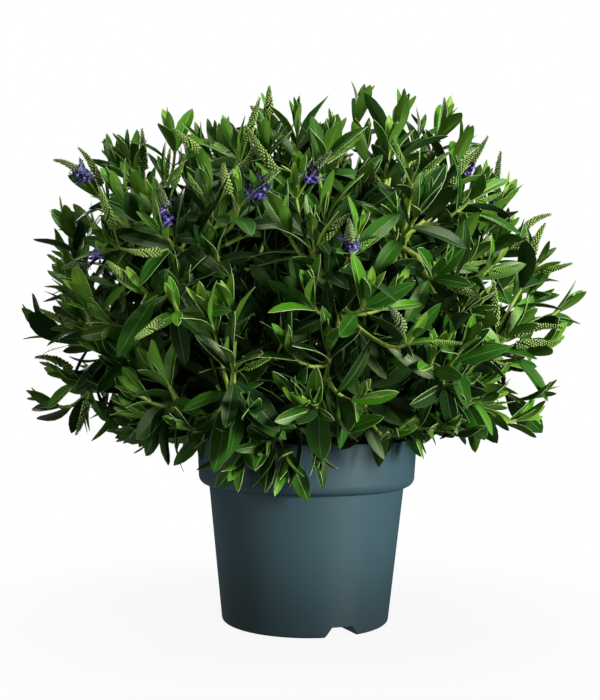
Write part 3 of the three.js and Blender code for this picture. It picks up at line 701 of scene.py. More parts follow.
def tip_way(direction, hanging):
    """Which way a shoot ends: outwards and up to the light, or straight on where it hangs over the rim."""
    rise = 0 if hanging else TIP_RISE * (1 - abs(direction[2]) * STEEP_LOSS)
    return unit(direction + UP * rise)


def shoot_line(start, leaving, tip, way, arch, steps):
    """A shoot from where it leaves its stem to its tip, bowed by `arch`, which ends the given way."""
    span = np.linalg.norm(tip - start)
    bend = start + leaving * span * FIRST_HANDLE - UP * arch * span
    return bezier([start, bend, tip - way * LAST_HANDLE * span, tip], steps)


def add_tip(direction, reach, index):
    """Gives a tip to the mass whose centre it is nearest to."""
    goal = CROWN_CENTRE + direction * reach
    mass = min(masses, key=lambda m: np.linalg.norm(m.centre - goal))
    drawn = unit(direction * (1 - TIP_PULL) + mass.direction * TIP_PULL)
    way = tip_way(drawn, too_low(goal))
    place = CROWN_CENTRE + drawn * reach - way * TIP_LEAF_REACH
    mass.tips.append(
        SimpleNamespace(tip=place, way=way, direction=drawn, reach=reach, seed=index, hanging=too_low(goal))
    )


def scattered(even, i, spread):
    turn = math.degrees(math.atan2(even[1], even[0])) + spread * scatter(i, 4)
    rise = math.degrees(math.asin(even[2])) + spread * scatter(i, 5)
    return heading(turn, min(rise, 89))


for i in range(TIPS):
    direction = scattered(crown_direction(i, TIPS, LOWEST_TIP), i, TIP_SCATTER)
    reach = outline_reach(direction) * (1 + REACH_SCATTER * (chance(i, 6) - FAR_SHARE))
    if not too_low(CROWN_CENTRE + direction * reach):
        add_tip(direction, reach, i)
for i, (turn, rise, reach) in enumerate(LONG_SHOOTS):
    add_tip(heading(turn, rise), reach, TIPS + i)

shoots = []


def add_shoot(line, radii, mass, seed, reach, hanging, flowers=False, shaded=False, bloom=0):
    """A shoot or twig, and what it bears: `bloom` is the share of its first raceme that has opened."""
    shoots.append(
        SimpleNamespace(line=line, radii=radii, mass=mass, seed=seed, reach=reach, hanging=hanging,
                        flowers=flowers, shaded=shaded, bloom=bloom)
    )


for mass in masses:
    leaving = heading_at(mass.bough, 1)
    start = mass.base + leaving * GAP
    targets = sorted(mass.tips, key=lambda target: -(target.direction @ mass.direction))
    for order, target in enumerate(targets):
        if order == 0:
            line = stem = shoot_line(start, leaving, target.tip, target.way, 0, STEM_BITS)
            radii = (BOUGH_RADII[1], SHOOT_RADII[1])
        else:
            node = LOWEST_FORK + FORK_SPREAD * (1 - order / len(targets))
            origin = point_at(stem, node)
            towards = unit(target.tip - origin) * (1 - LEAVING) + heading_at(stem, node) * LEAVING
            line = shoot_line(origin, towards, target.tip, target.way, SHOOT_ARCH, SHOOT_BITS)
            radii = SHOOT_RADII
        high = target.direction[2] > math.sin(math.radians(FLOWERS_ABOVE))
        flowers = order % 3 > 0 and high and target.seed < TIPS
        add_shoot(line, radii, mass, target.seed, target.reach, target.hanging, flowers)

parents = list(shoots)


def add_twig(direction, reach, seed, **bearing):
    """A finer twig: it leaves the nearest shoot, farther back the farther off its tip is."""
    hanging = too_low(CROWN_CENTRE + direction * reach)
    way = tip_way(direction, hanging and direction[2] < STEEP_DOWN)
    tip = CROWN_CENTRE + direction * reach - way * TIP_LEAF_REACH
    parent = min(parents, key=lambda shoot: np.linalg.norm(shoot.line[-1] - tip))
    off = np.linalg.norm(parent.line[-1] - tip)
    back = (BACK_SHARE + BACK_SPREAD * chance(seed, 12)) * off + FORK_BACK
    share = max(LOWEST_FORK, 1 - back / length_of(parent.line))
    origin = point_at(parent.line, share)
    towards = unit(tip - origin) * (1 - LEAVING) + heading_at(parent.line, share) * LEAVING
    line = shoot_line(origin, towards, tip, way, TWIG_ARCH, TWIG_BITS)
    add_shoot(line, TWIG_RADII, parent.mass, seed, reach, hanging, **bearing)


standing = [heading(turn, rise) for turn, rise, *_ in LONG_SHOOTS + STANDING_TWIGS + RACEME_TWIGS]
for i, (turn, rise, reach) in enumerate(STANDING_TWIGS):
    flowers = i % 3 == 0 and rise > 0
    add_twig(heading(turn, rise), reach + STANDING_OVER, STANDING_SEED + i, flowers=flowers)
for i in range(LOW_TWIGS):
    reach = LOW_TWIG_REACH * (LEAST_LOW + LOW_SPREAD * chance(i, 38))
    depth = CROWN_CENTRE[2] - SKIRT_HEIGHT - LOW_TWIG_BAND * chance(i, 39)
    rise = -math.degrees(math.asin(depth / reach))
    add_twig(heading(i * GOLDEN_ANGLE, rise), reach, LOW_SEED + i, shaded=True)
for i, (turn, rise, reach, bloom) in enumerate(RACEME_TWIGS):
    add_twig(heading(turn, rise), reach, RACEME_SEED + i, flowers=True, bloom=bloom)
for i in range(OUTER_TIPS + INNER_TIPS):
    outer = i < OUTER_TIPS
    number, count = (i, OUTER_TIPS) if outer else (i - OUTER_TIPS, INNER_TIPS)
    farthest, depth = (OUTER_REACH, OUTER_DEPTH) if outer else (INNER_REACH, INNER_DEPTH)
    lowest = LOWEST_TIP if outer else LOWEST_INNER_TIP
    seed = EVEN_SEED + i
    direction = scattered(crown_direction(number, count, lowest), seed, TIP_SCATTER)
    nearest = max(direction @ other for other in standing)
    reach = outline_reach(direction) * (farthest - depth * chance(seed, 6))
    crowded = outer and nearest > math.cos(math.radians(CLEAR_OF_LONG))
    if too_low(CROWN_CENTRE + direction * reach) or crowded:
        continue
    flowers = outer and chance(seed, 13) < FLOWERING_TWIGS and direction[2] > 0
    add_twig(direction, reach, seed, flowers=flowers, shaded=not outer)

# Green wood has a thin smooth skin with a soft gloss, in which its fibres just show. The ring at each
# pair of leaves is drier and brown.
FIBRE_SIZE = 2 * MM
green_twig, tree, shading = new_material("green_shoot_wood", "#9fbb4a", Roughness=0.5, IOR=1.45)
_, fibrous = skin_relief(tree, FIBRE_SIZE, 3.0, 0.4, 0.2 * MM)
set_inputs(shading, {"Normal": fibrous})
scar_ring = new_material("leaf_scar", "#8c7a3a", Roughness=0.7, IOR=1.45)[0]

# How far behind the tip each pair of leaves stands, the newest pair first.
PAIRS_BACK = [1.5, 5, 13, 26, 43, 61, 80, 100, 121, 143, 165]
LEAST_STRETCH, STRETCH_SPREAD = 0.9, 0.3  # how far apart the pairs of a shoot are, against that
LEAFY_SHARE = 0.88  # of a shoot; its foot is bare
RING_LENGTH, RING_SWELLING = 1.4, 1.32  # of the ring at each pair, in millimetres and as a ratio


def leaf_nodes(shoot):
    """The pairs that a shoot carries: which pair, and at what share of its length."""
    length = length_of(shoot.line)
    stretch = LEAST_STRETCH + STRETCH_SPREAD * chance(shoot.seed, 14)
    backs = [(pair, back * stretch) for pair, back in enumerate(PAIRS_BACK)]
    return [(pair, 1 - back / length) for pair, back in backs if back < LEAFY_SHARE * length]


def joined(solids):
    """Several solids as one: corners and triangles."""
    starts = np.cumsum([0] + [len(corners) for corners, _ in solids])
    faces = [triangles + start for (_, triangles), start in zip(solids, starts)]
    return np.concatenate([corners for corners, _ in solids]), np.concatenate(faces)


solids, kinds = [], []
for shoot in shoots:
    nodes = [share for _, share in leaf_nodes(shoot)]
    swell = RING_LENGTH / length_of(shoot.line)
    shares = {0.0, 0.33, 0.66, 1.0}
    for share in nodes[2:]:
        shares |= {share - swell, share, share + swell}
    shares = np.array(sorted(s for s in shares if 0 <= s <= 1))
    line = np.array([point_at(shoot.line, s) for s in shares])
    radii = shoot.radii[0] + (shoot.radii[1] - shoot.radii[0]) * shares
    at_node = np.array([min([abs(s - n) for n in nodes] or [1]) < 0.2 * swell for s in shares])
    solids.append(swept(line, radii * np.where(at_node, RING_SWELLING, 1.0), TWIG_SIDES))
    ringed = np.zeros(len(solids[-1][1]), int)
    for ring in np.nonzero(at_node[:-1])[0]:
        ringed[2 * TWIG_SIDES * ring : 2 * TWIG_SIDES * (ring + 1)] = 1
    kinds.append(ringed)

foliage_nodes = [f"foliage_{mass.node:02d}" for mass in masses]
corners, triangles = joined(solids)
wood = [green_twig, scar_ring]
twigs = make_piece("twigs", corners * MM, triangles, wood, WOOD_SMOOTH, np.concatenate(kinds))
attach(twigs, "root")
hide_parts(*foliage_nodes)


# ---------------------------------------------------------------- leaves
# Evergreen leaves in crossed pairs, leathery and glossy, with a pale midrib and a thin pale margin.
# One flat blank is modelled, and each leaf is that blank with its own length, keel, droop and twist.
LEAF_LENGTH = 50
LEAF_WIDTH = 0.28  # of its length
LEAF_THICKNESS = 0.55
LEAF_ROWS = [0.0, 0.1, 0.27, 0.45, 0.63, 0.81, 0.93, 1.0]
ROW_WIDTHS = [0.16, 0.34, 0.74, 0.96, 1.0, 0.78, 0.42, 0.03]
RIB_WIDTH, MARGIN_WIDTH = 0.046, 0.04  # in half widths of the leaf
LEAF_SMOOTH = 20  # degrees
HANGING_OPEN = 1.35  # how much farther the leaves open on the shoots that hang over the rim
LEAF_HANG = 12  # about how far a leaf may hang under the skirt
LEAST_HANG, HANG_SPREAD = 0.5, 2.5  # the least share of that, and what chance can add
SKIRT_BAND = 48  # above the crown's underside, where the older leaves hang
SKIRT_EDGE = 15  # how far out of the rim they stand, at the least
SKIRT_HANG, LEE_HANG = 36, 14  # how far these may reach under the skirt, and on the leeward side
SKIRT_SAG, LEAST_SAG = 1.1, 0.4  # how strongly they turn down, and the share that all of them do
SKIRT_BREADTH = 1.25  # how much broader they are
SKIRT_FALLEN = 0.4  # how many of them have fallen, against others
RIM_CLEAR = 6  # how far the leaf tips keep from the rim
RAGGED = 11  # how unevenly the leaf tips end
EVEN_REACH = 0.97  # how much of the even growth's reach every leaf may use
RACEME_CLEAR = 12  # how far the leaves of a shoot with racemes stay behind its reach
SHORTEST_LEAF = 0.55  # as a share of a grown one
SKY_PULL = 0.45  # how far the older leaves turn their faces to the light
LEAF_TILT = 14  # degrees, by which a leaf leans to one side at the most
TURN_SPREAD, OPEN_SPREAD, SHOOT_SPREAD = 9, 0.16, 3  # likewise: degrees, a share and degrees
SIZE_SPREAD, WIDTH_SPREAD, DROOP_SPREAD, TWIST_SPREAD = 0.16, 0.2, 0.8, 0.35  # likewise: shares
LEAST_SIZE, SHOOT_SIZES = 0.86, 0.32  # of the leaves of one shoot, and what chance can add to it
NEW_BREADTH = 0.92  # of the two newest pairs, which are narrower
NEW_DROOP, DROOP_GAIN = 0.02, 0.025  # of the newest pair, and how much more each pair behind it sags
NEW_KEEL, KEEL_LOSS, LEAST_KEEL = 0.62, 0.1, 0.15  # how folded it is, which it loses with age
UPPER, PALE, UNDER = 0, 1, 2


def model_leaf_blank():
    """A flat leaf, its length and half width 1: upper face, midrib, sloping margin and underside."""
    rows = len(LEAF_ROWS) - 1
    columns = [-1, -RIB_WIDTH, RIB_WIDTH, 1]
    grid = {"x_subdivisions": rows, "y_subdivisions": len(columns) - 1, "size": 2}
    blank = start_piece(bpy.ops.mesh.primitive_grid_add, **grid)
    for vertex in blank.data.vertices:
        row = round((vertex.co.x + 1) / 2 * rows)
        column = round((vertex.co.y + 1) / 2 * (len(columns) - 1))
        vertex.co = (LEAF_ROWS[row], columns[column] * ROW_WIDTHS[row], 0)
    bpy.ops.object.mode_set(mode="EDIT")
    bpy.ops.mesh.select_all(action="SELECT")
    bpy.ops.mesh.extrude_region_move(TRANSFORM_OT_translate={"value": (0, 0, 1)})
    bpy.ops.mesh.select_all(action="SELECT")
    bpy.ops.mesh.normals_make_consistent(inside=False)
    bpy.ops.object.mode_set(mode="OBJECT")
    for vertex in blank.data.vertices:
        if vertex.co.z > 0.5 and abs(vertex.co.y) - RIB_WIDTH > 0.02:
            vertex.co.y -= math.copysign(MARGIN_WIDTH, vertex.co.y)
    for _ in (UPPER, PALE, UNDER):
        blank.data.materials.append(None)
    for face in blank.data.polygons:
        if face.normal.z > 0.99:
            face.material_index = PALE if abs(face.center.y) < 0.01 else UPPER
        else:
            face.material_index = UNDER if face.normal.z < -0.99 else PALE
    return blank


leaf_blank, leaf_faces, leaf_kinds = blank_of(model_leaf_blank())


def level_beside(axis):
    """A level direction that is square to an axis."""
    return unit(np.cross(axis, UP) + 1e-6)


def spoke(axis, beside, turn):
    """A direction square to an axis, a turn in radians round it from `beside`, which is one too."""
    return beside * math.cos(turn) + np.cross(axis, beside) * math.sin(turn)


def pair_turn(shoot, pair, side):
    """How far round its shoot a leaf of a pair stands, in degrees. Each pair crosses the last."""
    return 360 * chance(shoot.seed, 15) + 90 * (pair % 2) + 180 * side


leaves = []

# How large the leaves of each pair are as a share of a grown one, how many degrees they open from the
# shoot, and the share of them that has fallen, the newest pair first.
PAIRS_SIZE = [0.68, 0.88, 1.0, 1.06, 1.04, 1.0, 1.0, 1.0, 1.0, 1.0, 1.0]
PAIRS_OPEN = [4, 12, 31, 48, 60, 69, 76, 82, 86, 88, 90]
PAIRS_FALLEN = [0, 0, 0, 0.05, 0.3, 0.6, 0.75, 0.75, 0.75, 0.75, 0.75]


def add_leaf(shoot, pair, side, share):
    """One leaf of a pair: its root, the way it points, the way its face looks, and its size."""
    seed = shoot.seed * 20 + pair * 2 + side
    axis = heading_at(shoot.line, share)
    turn = math.radians(pair_turn(shoot, pair, side) + TURN_SPREAD * scatter(seed, 16))
    outward = spoke(axis, level_beside(axis), turn)
    opening = PAIRS_OPEN[pair] * (1 + OPEN_SPREAD * scatter(seed, 17))
    opening += SHOOT_SPREAD * scatter(shoot.seed, 18)
    opening = math.radians(opening) * (HANGING_OPEN if shoot.hanging and not shoot.shaded else 1)
    way = axis * math.cos(opening) + outward * math.sin(opening)
    face = axis * math.sin(opening) - outward * math.cos(opening)

    root = point_at(shoot.line, share)
    out = math.hypot(root[0], root[1])
    at_skirt = root[2] < SKIRT_HEIGHT + SKIRT_BAND and out > RIM_RADIUS / MM + SKIRT_EDGE
    sagging = at_skirt and pair > 2 and not shoot.shaded
    fallen = PAIRS_FALLEN[pair] * (SKIRT_FALLEN if sagging else 1)
    if not shoot.shaded and chance(seed, 33) < fallen:
        return
    if sagging:
        way = unit(way - SKIRT_SAG * (LEAST_SAG + chance(seed, 43)) * UP)
    face = unit(face + SKY_PULL * min(1, pair / 4) * (UP - way * way[2]))
    face = unit(face - way * (face @ way))
    tilt = math.radians(LEAF_TILT * scatter(seed, 19))
    face = face * math.cos(tilt) + np.cross(way, face) * math.sin(tilt)

    grown = LEAF_LENGTH * PAIRS_SIZE[pair]
    size = grown * (1 + SIZE_SPREAD * scatter(seed, 20))
    size *= LEAST_SIZE + SHOOT_SIZES * chance(shoot.seed, 21)
    tip = root + way * size
    from_centre = tip - CROWN_CENTRE
    even = EVEN_REACH * outline_reach(unit(from_centre))
    farthest = max(shoot.reach - RACEME_CLEAR * shoot.flowers, even)
    past = np.linalg.norm(from_centre) - farthest + RAGGED * chance(seed, 42)
    if past > 0:
        size -= past
        tip = root + way * size
    over_pot = math.hypot(tip[0], tip[1]) < RIM_RADIUS / MM + RIM_CLEAR
    near_pot = over_pot and tip[2] < POT_HEIGHT / MM + RIM_CLEAR
    sunk = SKIRT_HANG + (LEE_HANG - SKIRT_HANG) * max(0.0, root[0] / out)
    hang = sunk if sagging else LEAF_HANG * (LEAST_HANG + HANG_SPREAD * chance(seed, 41) ** 2)
    hangs = not shoot.hanging and too_low(tip, hang)
    if near_pot or hangs or size < SHORTEST_LEAF * grown:
        return
    breadth = NEW_BREADTH if pair < 2 else SKIRT_BREADTH if sagging else 1
    width = LEAF_WIDTH * (1 + WIDTH_SPREAD * scatter(seed, 23)) * breadth
    droop = (NEW_DROOP + DROOP_GAIN * pair) * (1 + DROOP_SPREAD * scatter(seed, 22))
    leaves.append(
        SimpleNamespace(root=root, way=way, face=face, size=size, width=width * size / 2, droop=droop,
                        keel=max(LEAST_KEEL, NEW_KEEL - KEEL_LOSS * pair), pair=pair,
                        twist=TWIST_SPREAD * scatter(seed, 24), tone=chance(shoot.seed, 25),
                        mass=shoot.mass, shaded=shoot.shaded)
    )


for shoot in shoots:
    for pair, share in leaf_nodes(shoot):
        for side in (0, 1):
            add_leaf(shoot, pair, side, share)


def leaf_corners(group):
    """The corners of all leaves of a group, bent from the flat blank."""
    def column(name):
        return np.array([getattr(leaf, name) for leaf in group])

    u, v, top = leaf_blank.T
    size, width = column("size")[:, None], column("width")[:, None]
    along = u * size
    twist = column("twist")[:, None] * u**2
    across = v * width
    rise = abs(v) * width * column("keel")[:, None] * np.sin(np.pi * np.clip(u * 0.9 + 0.1, 0, 1))
    sag = -column("droop")[:, None] * size * (u**2 + 0.6 * u**4)
    lift = rise * np.cos(twist) + across * np.sin(twist) + sag + top * LEAF_THICKNESS
    shift = across * np.cos(twist) - rise * np.sin(twist)
    way, face = column("way"), column("face")
    sideways = np.cross(face, way)
    return (
        column("root")[:, None]
        + along[..., None] * way[:, None]
        + shift[..., None] * sideways[:, None]
        + lift[..., None] * face[:, None]
    )


LEAF_WAX = 0.12
LEAF_SHEEN = "#eefcb4"  # the blade's own broad gloss is tinted by the green under the skin
VEIN_SPACING = 3.85 * MM  # drawn several times as coarse as they are


def leaf_material(name, colour, roughness, grain):
    """Leathery blade with a waxy skin. Its fine veins only break the gloss, so they are in the bump."""
    gloss = {"Specular Tint": linear(LEAF_SHEEN), "Coat Weight": LEAF_WAX, "Coat Roughness": 0.35}
    material, tree, shading = new_material(name, colour, Roughness=roughness, IOR=1.42, **gloss)
    _, veined = skin_relief(tree, VEIN_SPACING, 2.0, grain, 0.5 * MM)
    set_inputs(shading, {"Normal": veined})
    return material


# The upper faces by age and by spray, then the ribs with the margins and the undersides, which are
# paler on the young leaves: colour and roughness. The older a blade is, the darker and glossier.
BLADES = {
    "new_leaf": ("#74a428", 0.46),
    "young_leaf": ("#478612", 0.43),
    "mid_leaf": ("#265b0e", 0.41),
    "deep_leaf": ("#143609", 0.39),
    "blue_leaf": ("#1a3c17", 0.4),
}
PALE_PARTS = {"young_rib_and_margin": ("#a4bc7c", 0.5), "old_rib_and_margin": ("#5c7e4c", 0.5)}
UNDERSIDES = {"young_underside": ("#507d25", 0.55), "old_underside": ("#2a4a1e", 0.58)}
BLADE_GRAIN, PALE_GRAIN, UNDERSIDE_GRAIN = 0.35, 0.1, 0.3
leaf_materials = [
    leaf_material(name, colour, roughness, grain)
    for parts, grain in ((BLADES, BLADE_GRAIN), (PALE_PARTS, PALE_GRAIN), (UNDERSIDES, UNDERSIDE_GRAIN))
    for name, (colour, roughness) in parts.items()
]
NEW, YOUNG, MID, DEEP, BLUE = range(5)
PALES, UNDERS = (5, 6), (7, 8)


def tone_of(leaf):
    """Which upper colour a leaf has: new growth is bright, and each spray's old leaves are alike."""
    if leaf.shaded:
        return DEEP if leaf.tone < 0.6 else BLUE
    if leaf.pair <= 1:
        return NEW if leaf.tone < 0.42 else YOUNG if leaf.tone < 0.8 else MID
    if leaf.pair == 2:
        return YOUNG if leaf.tone < 0.5 else MID if leaf.tone < 0.8 else BLUE
    if leaf.pair == 3:
        return MID if leaf.tone < 0.8 else BLUE
    return DEEP if leaf.tone < 0.45 else BLUE if leaf.tone < 0.7 else MID


def kinds_of(leaf):
    """The material of each face of a leaf."""
    old = 0 if leaf.pair <= 2 and not leaf.shaded else 1
    return np.array([tone_of(leaf), PALES[old], UNDERS[old]])[leaf_kinds]


LEAF_PIECES = 8
for part in range(LEAF_PIECES):
    per_piece = MASSES // LEAF_PIECES
    members = range(part * per_piece, (part + 1) * per_piece)
    group = [leaf for leaf in leaves if leaf.mass.node - 1 in members]
    corners, triangles = stamped(leaf_corners(group), leaf_faces)
    kinds = np.concatenate([kinds_of(leaf) for leaf in group])
    name = f"leaves_{part + 1}"
    piece = make_piece(name, corners * MM, triangles, leaf_materials, LEAF_SMOOTH, kinds)
    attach(piece, "root")
    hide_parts(*(foliage_nodes[i] for i in members))


# ---------------------------------------------------------------- racemes of buds
# Flower buds packed in a spiral round a slim tapering stalk, in the axils of a leaf pair below a shoot's
# tip. Each bud is a green cup with a pale closed flower in it, smallest at the raceme's tip. Where a
# raceme has opened, some of the buds are flowers now, some have withered and the others have fallen.
RACEME_LENGTH = 68
SHORTEST_RACEME, LENGTH_SPREAD = 0.75, 0.4  # of that, and what chance can add
RACEME_LEAN, LEAN_SPREAD = 28, 20  # degrees from its shoot at the least, and what chance can add
FOOT_PART, TIP_PART = 0.55, 0.45  # of its length, to its bend and past it
CURL_OUT, CURL_UP = 0.5, 0.35  # how far it curls past its bend
INNER_PAIR = 0.6  # how many shoots have theirs at the third leaf pair; the others' are one farther back
SECOND_RACEME = 0.7  # how many shoots have two
STALK_RADIUS, STALK_TIP_RADIUS = 1.05, 0.35
STALK_SIDES, STALK_RINGS = 5, 9
RACEME_STEPS = 20
BUD_LENGTH = 5.3
BUD_SPREAD = 0.2  # from the smallest to the largest at one place
FOOT_BUD, FOOT_TAPER = 0.88, 5  # the lowest bud's size, which comes to full over a fifth of the raceme
TIP_LOSS, TIP_TAPER = 0.72, 2.2  # what the topmost bud lacks in size, and how late that sets in
BUD_SLANT, SLANT_GAIN = 0.5, 0.7  # how far the lowest points along the stalk, and what the topmost adds
FLOWER_SLANT = 0.25  # how far a flower does
BUD_WIDTH = 0.54  # of its length
PETAL_START = 0.66  # share of its length that the cup takes up
CUP, PETALS = 0, 1
BUDS_ROUND = 7
BARE_FOOT = 0.33  # share of the stalk below the first buds
BUD_STEP = 2.5
BUD_STAND, FLOWER_STAND = 0.35, 2.5  # how far out of the stalk's middle their feet are
BUD_SMOOTH = 180  # degrees
BUD_PIECES = 2
YOUNG_RACEMES, YOUNG_SIZE = 0.45, 0.7  # how many are younger and all green, and their size
DUSKY_RACEMES = 0.1  # how many of the others are dusky before they open
FLOWER_SHARE = 0.25  # how many of the buds in the open part are flowers now
SPENT_SHARE = 0.45  # how many of them have withered there; the others have fallen
RACEME_OVER = 5  # how far a raceme may pass the reach of its shoot's leaves
STANDING_RACEMES = [  # degrees round and up, and reach, of tips that stand out, and the share in flower
    (-4, 28, 282, 0), (-16, 44, 274, 0.2), (-6, 49, 268, 0), (30, 30, 284, 0), (-27, 3, 268, 0),
    (-160, 33, 314, 0.4), (-172, 39, 306, 0), (-164, 50, 274, 0), (150, 38, 296, 0), (-160, -4, 280, 0),
]
RACEME_ARCH = 9  # how far the middle of these stands above the line from foot to tip
TURNED_FOOT = 60  # how much farther off a foot may be for each unit that its shoot points away
STANDING_RACEME_SEED = 5000


def model_bud():
    """A closed bud on its side, pointing along +X: its cup, and the pale flower that fills it."""
    bud = start_piece(bpy.ops.mesh.primitive_ico_sphere_add, subdivisions=1, radius=1)
    for _ in (CUP, PETALS):
        bud.data.materials.append(None)
    for vertex in bud.data.vertices:
        x, y, z = vertex.co
        vertex.co = (0.5 + 0.5 * z, BUD_WIDTH / 2 * x, BUD_WIDTH / 2 * y)
    for face in bud.data.polygons:
        face.material_index = PETALS if face.center.x > PETAL_START else CUP
    return bud


bud_blank, bud_faces, bud_kinds = blank_of(model_bud())

racemes = []


def add_raceme(shoot, pair, side, bloom):
    """A raceme in the axil of one leaf of a pair. `bloom` is the share of it that has opened."""
    found = [share for number, share in leaf_nodes(shoot) if number == pair]
    if not found:
        return
    seed = shoot.seed * 4 + side
    axis = heading_at(shoot.line, found[0])
    outward = spoke(axis, level_beside(axis), math.radians(pair_turn(shoot, pair, side)))
    lean = math.radians(RACEME_LEAN + LEAN_SPREAD * chance(seed, 26))
    way = axis * math.cos(lean) + outward * math.sin(lean)
    young = not bloom and chance(seed, 40) < YOUNG_RACEMES
    length = RACEME_LENGTH * (SHORTEST_RACEME + LENGTH_SPREAD * chance(seed, 27))
    length *= YOUNG_SIZE if young else 1
    root = point_at(shoot.line, found[0])
    bend = root + way * FOOT_PART * length
    curled = unit(way + CURL_OUT * scatter(seed, 28) * outward + CURL_UP * scatter(seed, 29) * UP)
    tip = bend + curled * TIP_PART * length
    past = np.linalg.norm(tip - CROWN_CENTRE) - shoot.reach - RACEME_OVER
    if past > 0:
        tip = tip - unit(tip - CROWN_CENTRE) * past + UP * 0.3 * past
        bend = bend - unit(bend - CROWN_CENTRE) * 0.6 * past
    line = bezier([root, bend, tip], RACEME_STEPS)
    racemes.append(SimpleNamespace(line=line, length=length, bloom=bloom, seed=seed, young=young))


for shoot in shoots:
    if not shoot.flowers:
        continue
    pair = 2 if chance(shoot.seed, 30) < INNER_PAIR else 3
    add_raceme(shoot, pair, 0, shoot.bloom)
    if shoot.bloom or chance(shoot.seed, 31) < SECOND_RACEME:
        add_raceme(shoot, pair, 1, 0)


def unfit(foot, tip):
    """How badly a place on a shoot suits a raceme's tip: too near, too far or turned away."""
    place, axis = foot
    span = tip - place
    return abs(np.linalg.norm(span) - RACEME_LENGTH) + TURNED_FOOT * (1 - unit(span) @ axis)


feet = []
for shoot in shoots:
    if not shoot.shaded:
        at_pairs = [share for pair, share in leaf_nodes(shoot) if 1 <= pair <= 3]
        feet += [(point_at(shoot.line, share), heading_at(shoot.line, share)) for share in at_pairs]
for i, (turn, rise, reach, bloom) in enumerate(STANDING_RACEMES):
    tip = CROWN_CENTRE + heading(turn, rise) * reach
    root, _ = min(feet, key=lambda foot: unfit(foot, tip))
    line = bezier([root, (root + tip) / 2 + UP * RACEME_ARCH * 2, tip], RACEME_STEPS)
    racemes.append(SimpleNamespace(
        line=line, length=length_of(line), bloom=bloom, seed=STANDING_RACEME_SEED + i, young=False
    ))

# Buds are firm and matt. Their cups are darker than the petals that show between them, which gives the
# raceme its scaly look. They turn dusky before they open, and a dull dark violet when they wither.
BUD_COLOURS = [  # cup and petals: green, dusky, all young and withered
    ("bud_cup", "#375c1b", 0.55), ("closed_pale_petals", "#98b558", 0.5),
    ("dusky_bud_cup", "#26381c", 0.6), ("closed_dusky_petals", "#849a62", 0.5),
    ("young_bud_cup", "#437119", 0.5), ("young_bud_petals", "#8dbb48", 0.5),
    ("withered_bud_cup", "#221c2a", 0.6), ("withered_petals", "#3a2d66", 0.6),
]
GREEN, DUSKY, ALL_YOUNG, SPENT = range(4)
bud_materials = [new_material(name, colour, Roughness=rough)[0] for name, colour, rough in BUD_COLOURS]


def age_of(raceme):
    """Which pair of bud colours a raceme has: green, dusky where it has begun to open, or young."""
    if raceme.young:
        return ALL_YOUNG
    return DUSKY if raceme.bloom > 0 or chance(raceme.seed, 34) < DUSKY_RACEMES else GREEN


buds, open_buds, stalks = [], [], []
for raceme in racemes:
    shares = np.linspace(0, 1, STALK_RINGS)
    line = np.array([point_at(raceme.line, s) for s in shares])
    stalks.append(swept(line, STALK_RADIUS + (STALK_TIP_RADIUS - STALK_RADIUS) * shares, STALK_SIDES))
    grown = YOUNG_SIZE if raceme.young else 1
    count = int(raceme.length * (1 - BARE_FOOT) / (BUD_STEP * grown) * BUDS_ROUND)
    for k in range(count):
        done = k / count
        share = BARE_FOOT + (1 - BARE_FOOT) * done
        axis = heading_at(raceme.line, share)
        turn = math.radians(k * 360 / BUDS_ROUND + (k // BUDS_ROUND) * 180 / BUDS_ROUND)
        outward = spoke(axis, unit(np.cross(axis, [0.2, 0.5, 0.84])), turn)
        point = point_at(raceme.line, share)
        opened = done < raceme.bloom
        luck = chance(k, raceme.seed)
        if opened and luck < FLOWER_SHARE:
            open_buds.append((point + outward * FLOWER_STAND, unit(outward + FLOWER_SLANT * axis), axis, k))
        elif not opened or luck <= FLOWER_SHARE + SPENT_SHARE:
            slant = unit(outward + (BUD_SLANT + SLANT_GAIN * done) * axis)
            full = FOOT_BUD + (1 - FOOT_BUD) * min(1, FOOT_TAPER * done)
            full *= 1 - TIP_LOSS * done**TIP_TAPER
            size = BUD_LENGTH * grown * full * (1 + BUD_SPREAD * (chance(k, raceme.seed + 0.5) - 0.5))
            age = SPENT if opened else age_of(raceme)
            buds.append((point + outward * BUD_STAND, slant, axis, size, age))


def placed(blank, sizes, roots, ways, sides, ups):
    """Copies of a shape that lies along +X, each at its own root, turned and sized."""
    shaped = blank[None] * sizes[:, None, None]
    return (
        roots[:, None]
        + shaped[..., :1] * ways[:, None]
        + shaped[..., 1:2] * sides[:, None]
        + shaped[..., 2:] * ups[:, None]
    )


for part in range(BUD_PIECES):
    roots, ways, axes, sizes, ages = map(np.array, zip(*buds[part::BUD_PIECES]))
    sides = unit(np.cross(ways, axes))
    corners = placed(bud_blank, sizes, roots, ways, sides, np.cross(ways, sides))
    corners, triangles = stamped(corners, bud_faces)
    kinds = (bud_kinds[None] + 2 * ages[:, None]).ravel()
    name = f"raceme_buds_{part + 1}"
    piece = make_piece(name, corners * MM, triangles, bud_materials, BUD_SMOOTH, kinds)
    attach(piece, "root")
    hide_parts(*foliage_nodes)

corners, triangles = joined(stalks)
stalk_piece = make_piece("raceme_stalks", corners * MM, triangles, [green_twig], WOOD_SMOOTH)
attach(stalk_piece, "root")
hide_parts(*foliage_nodes)


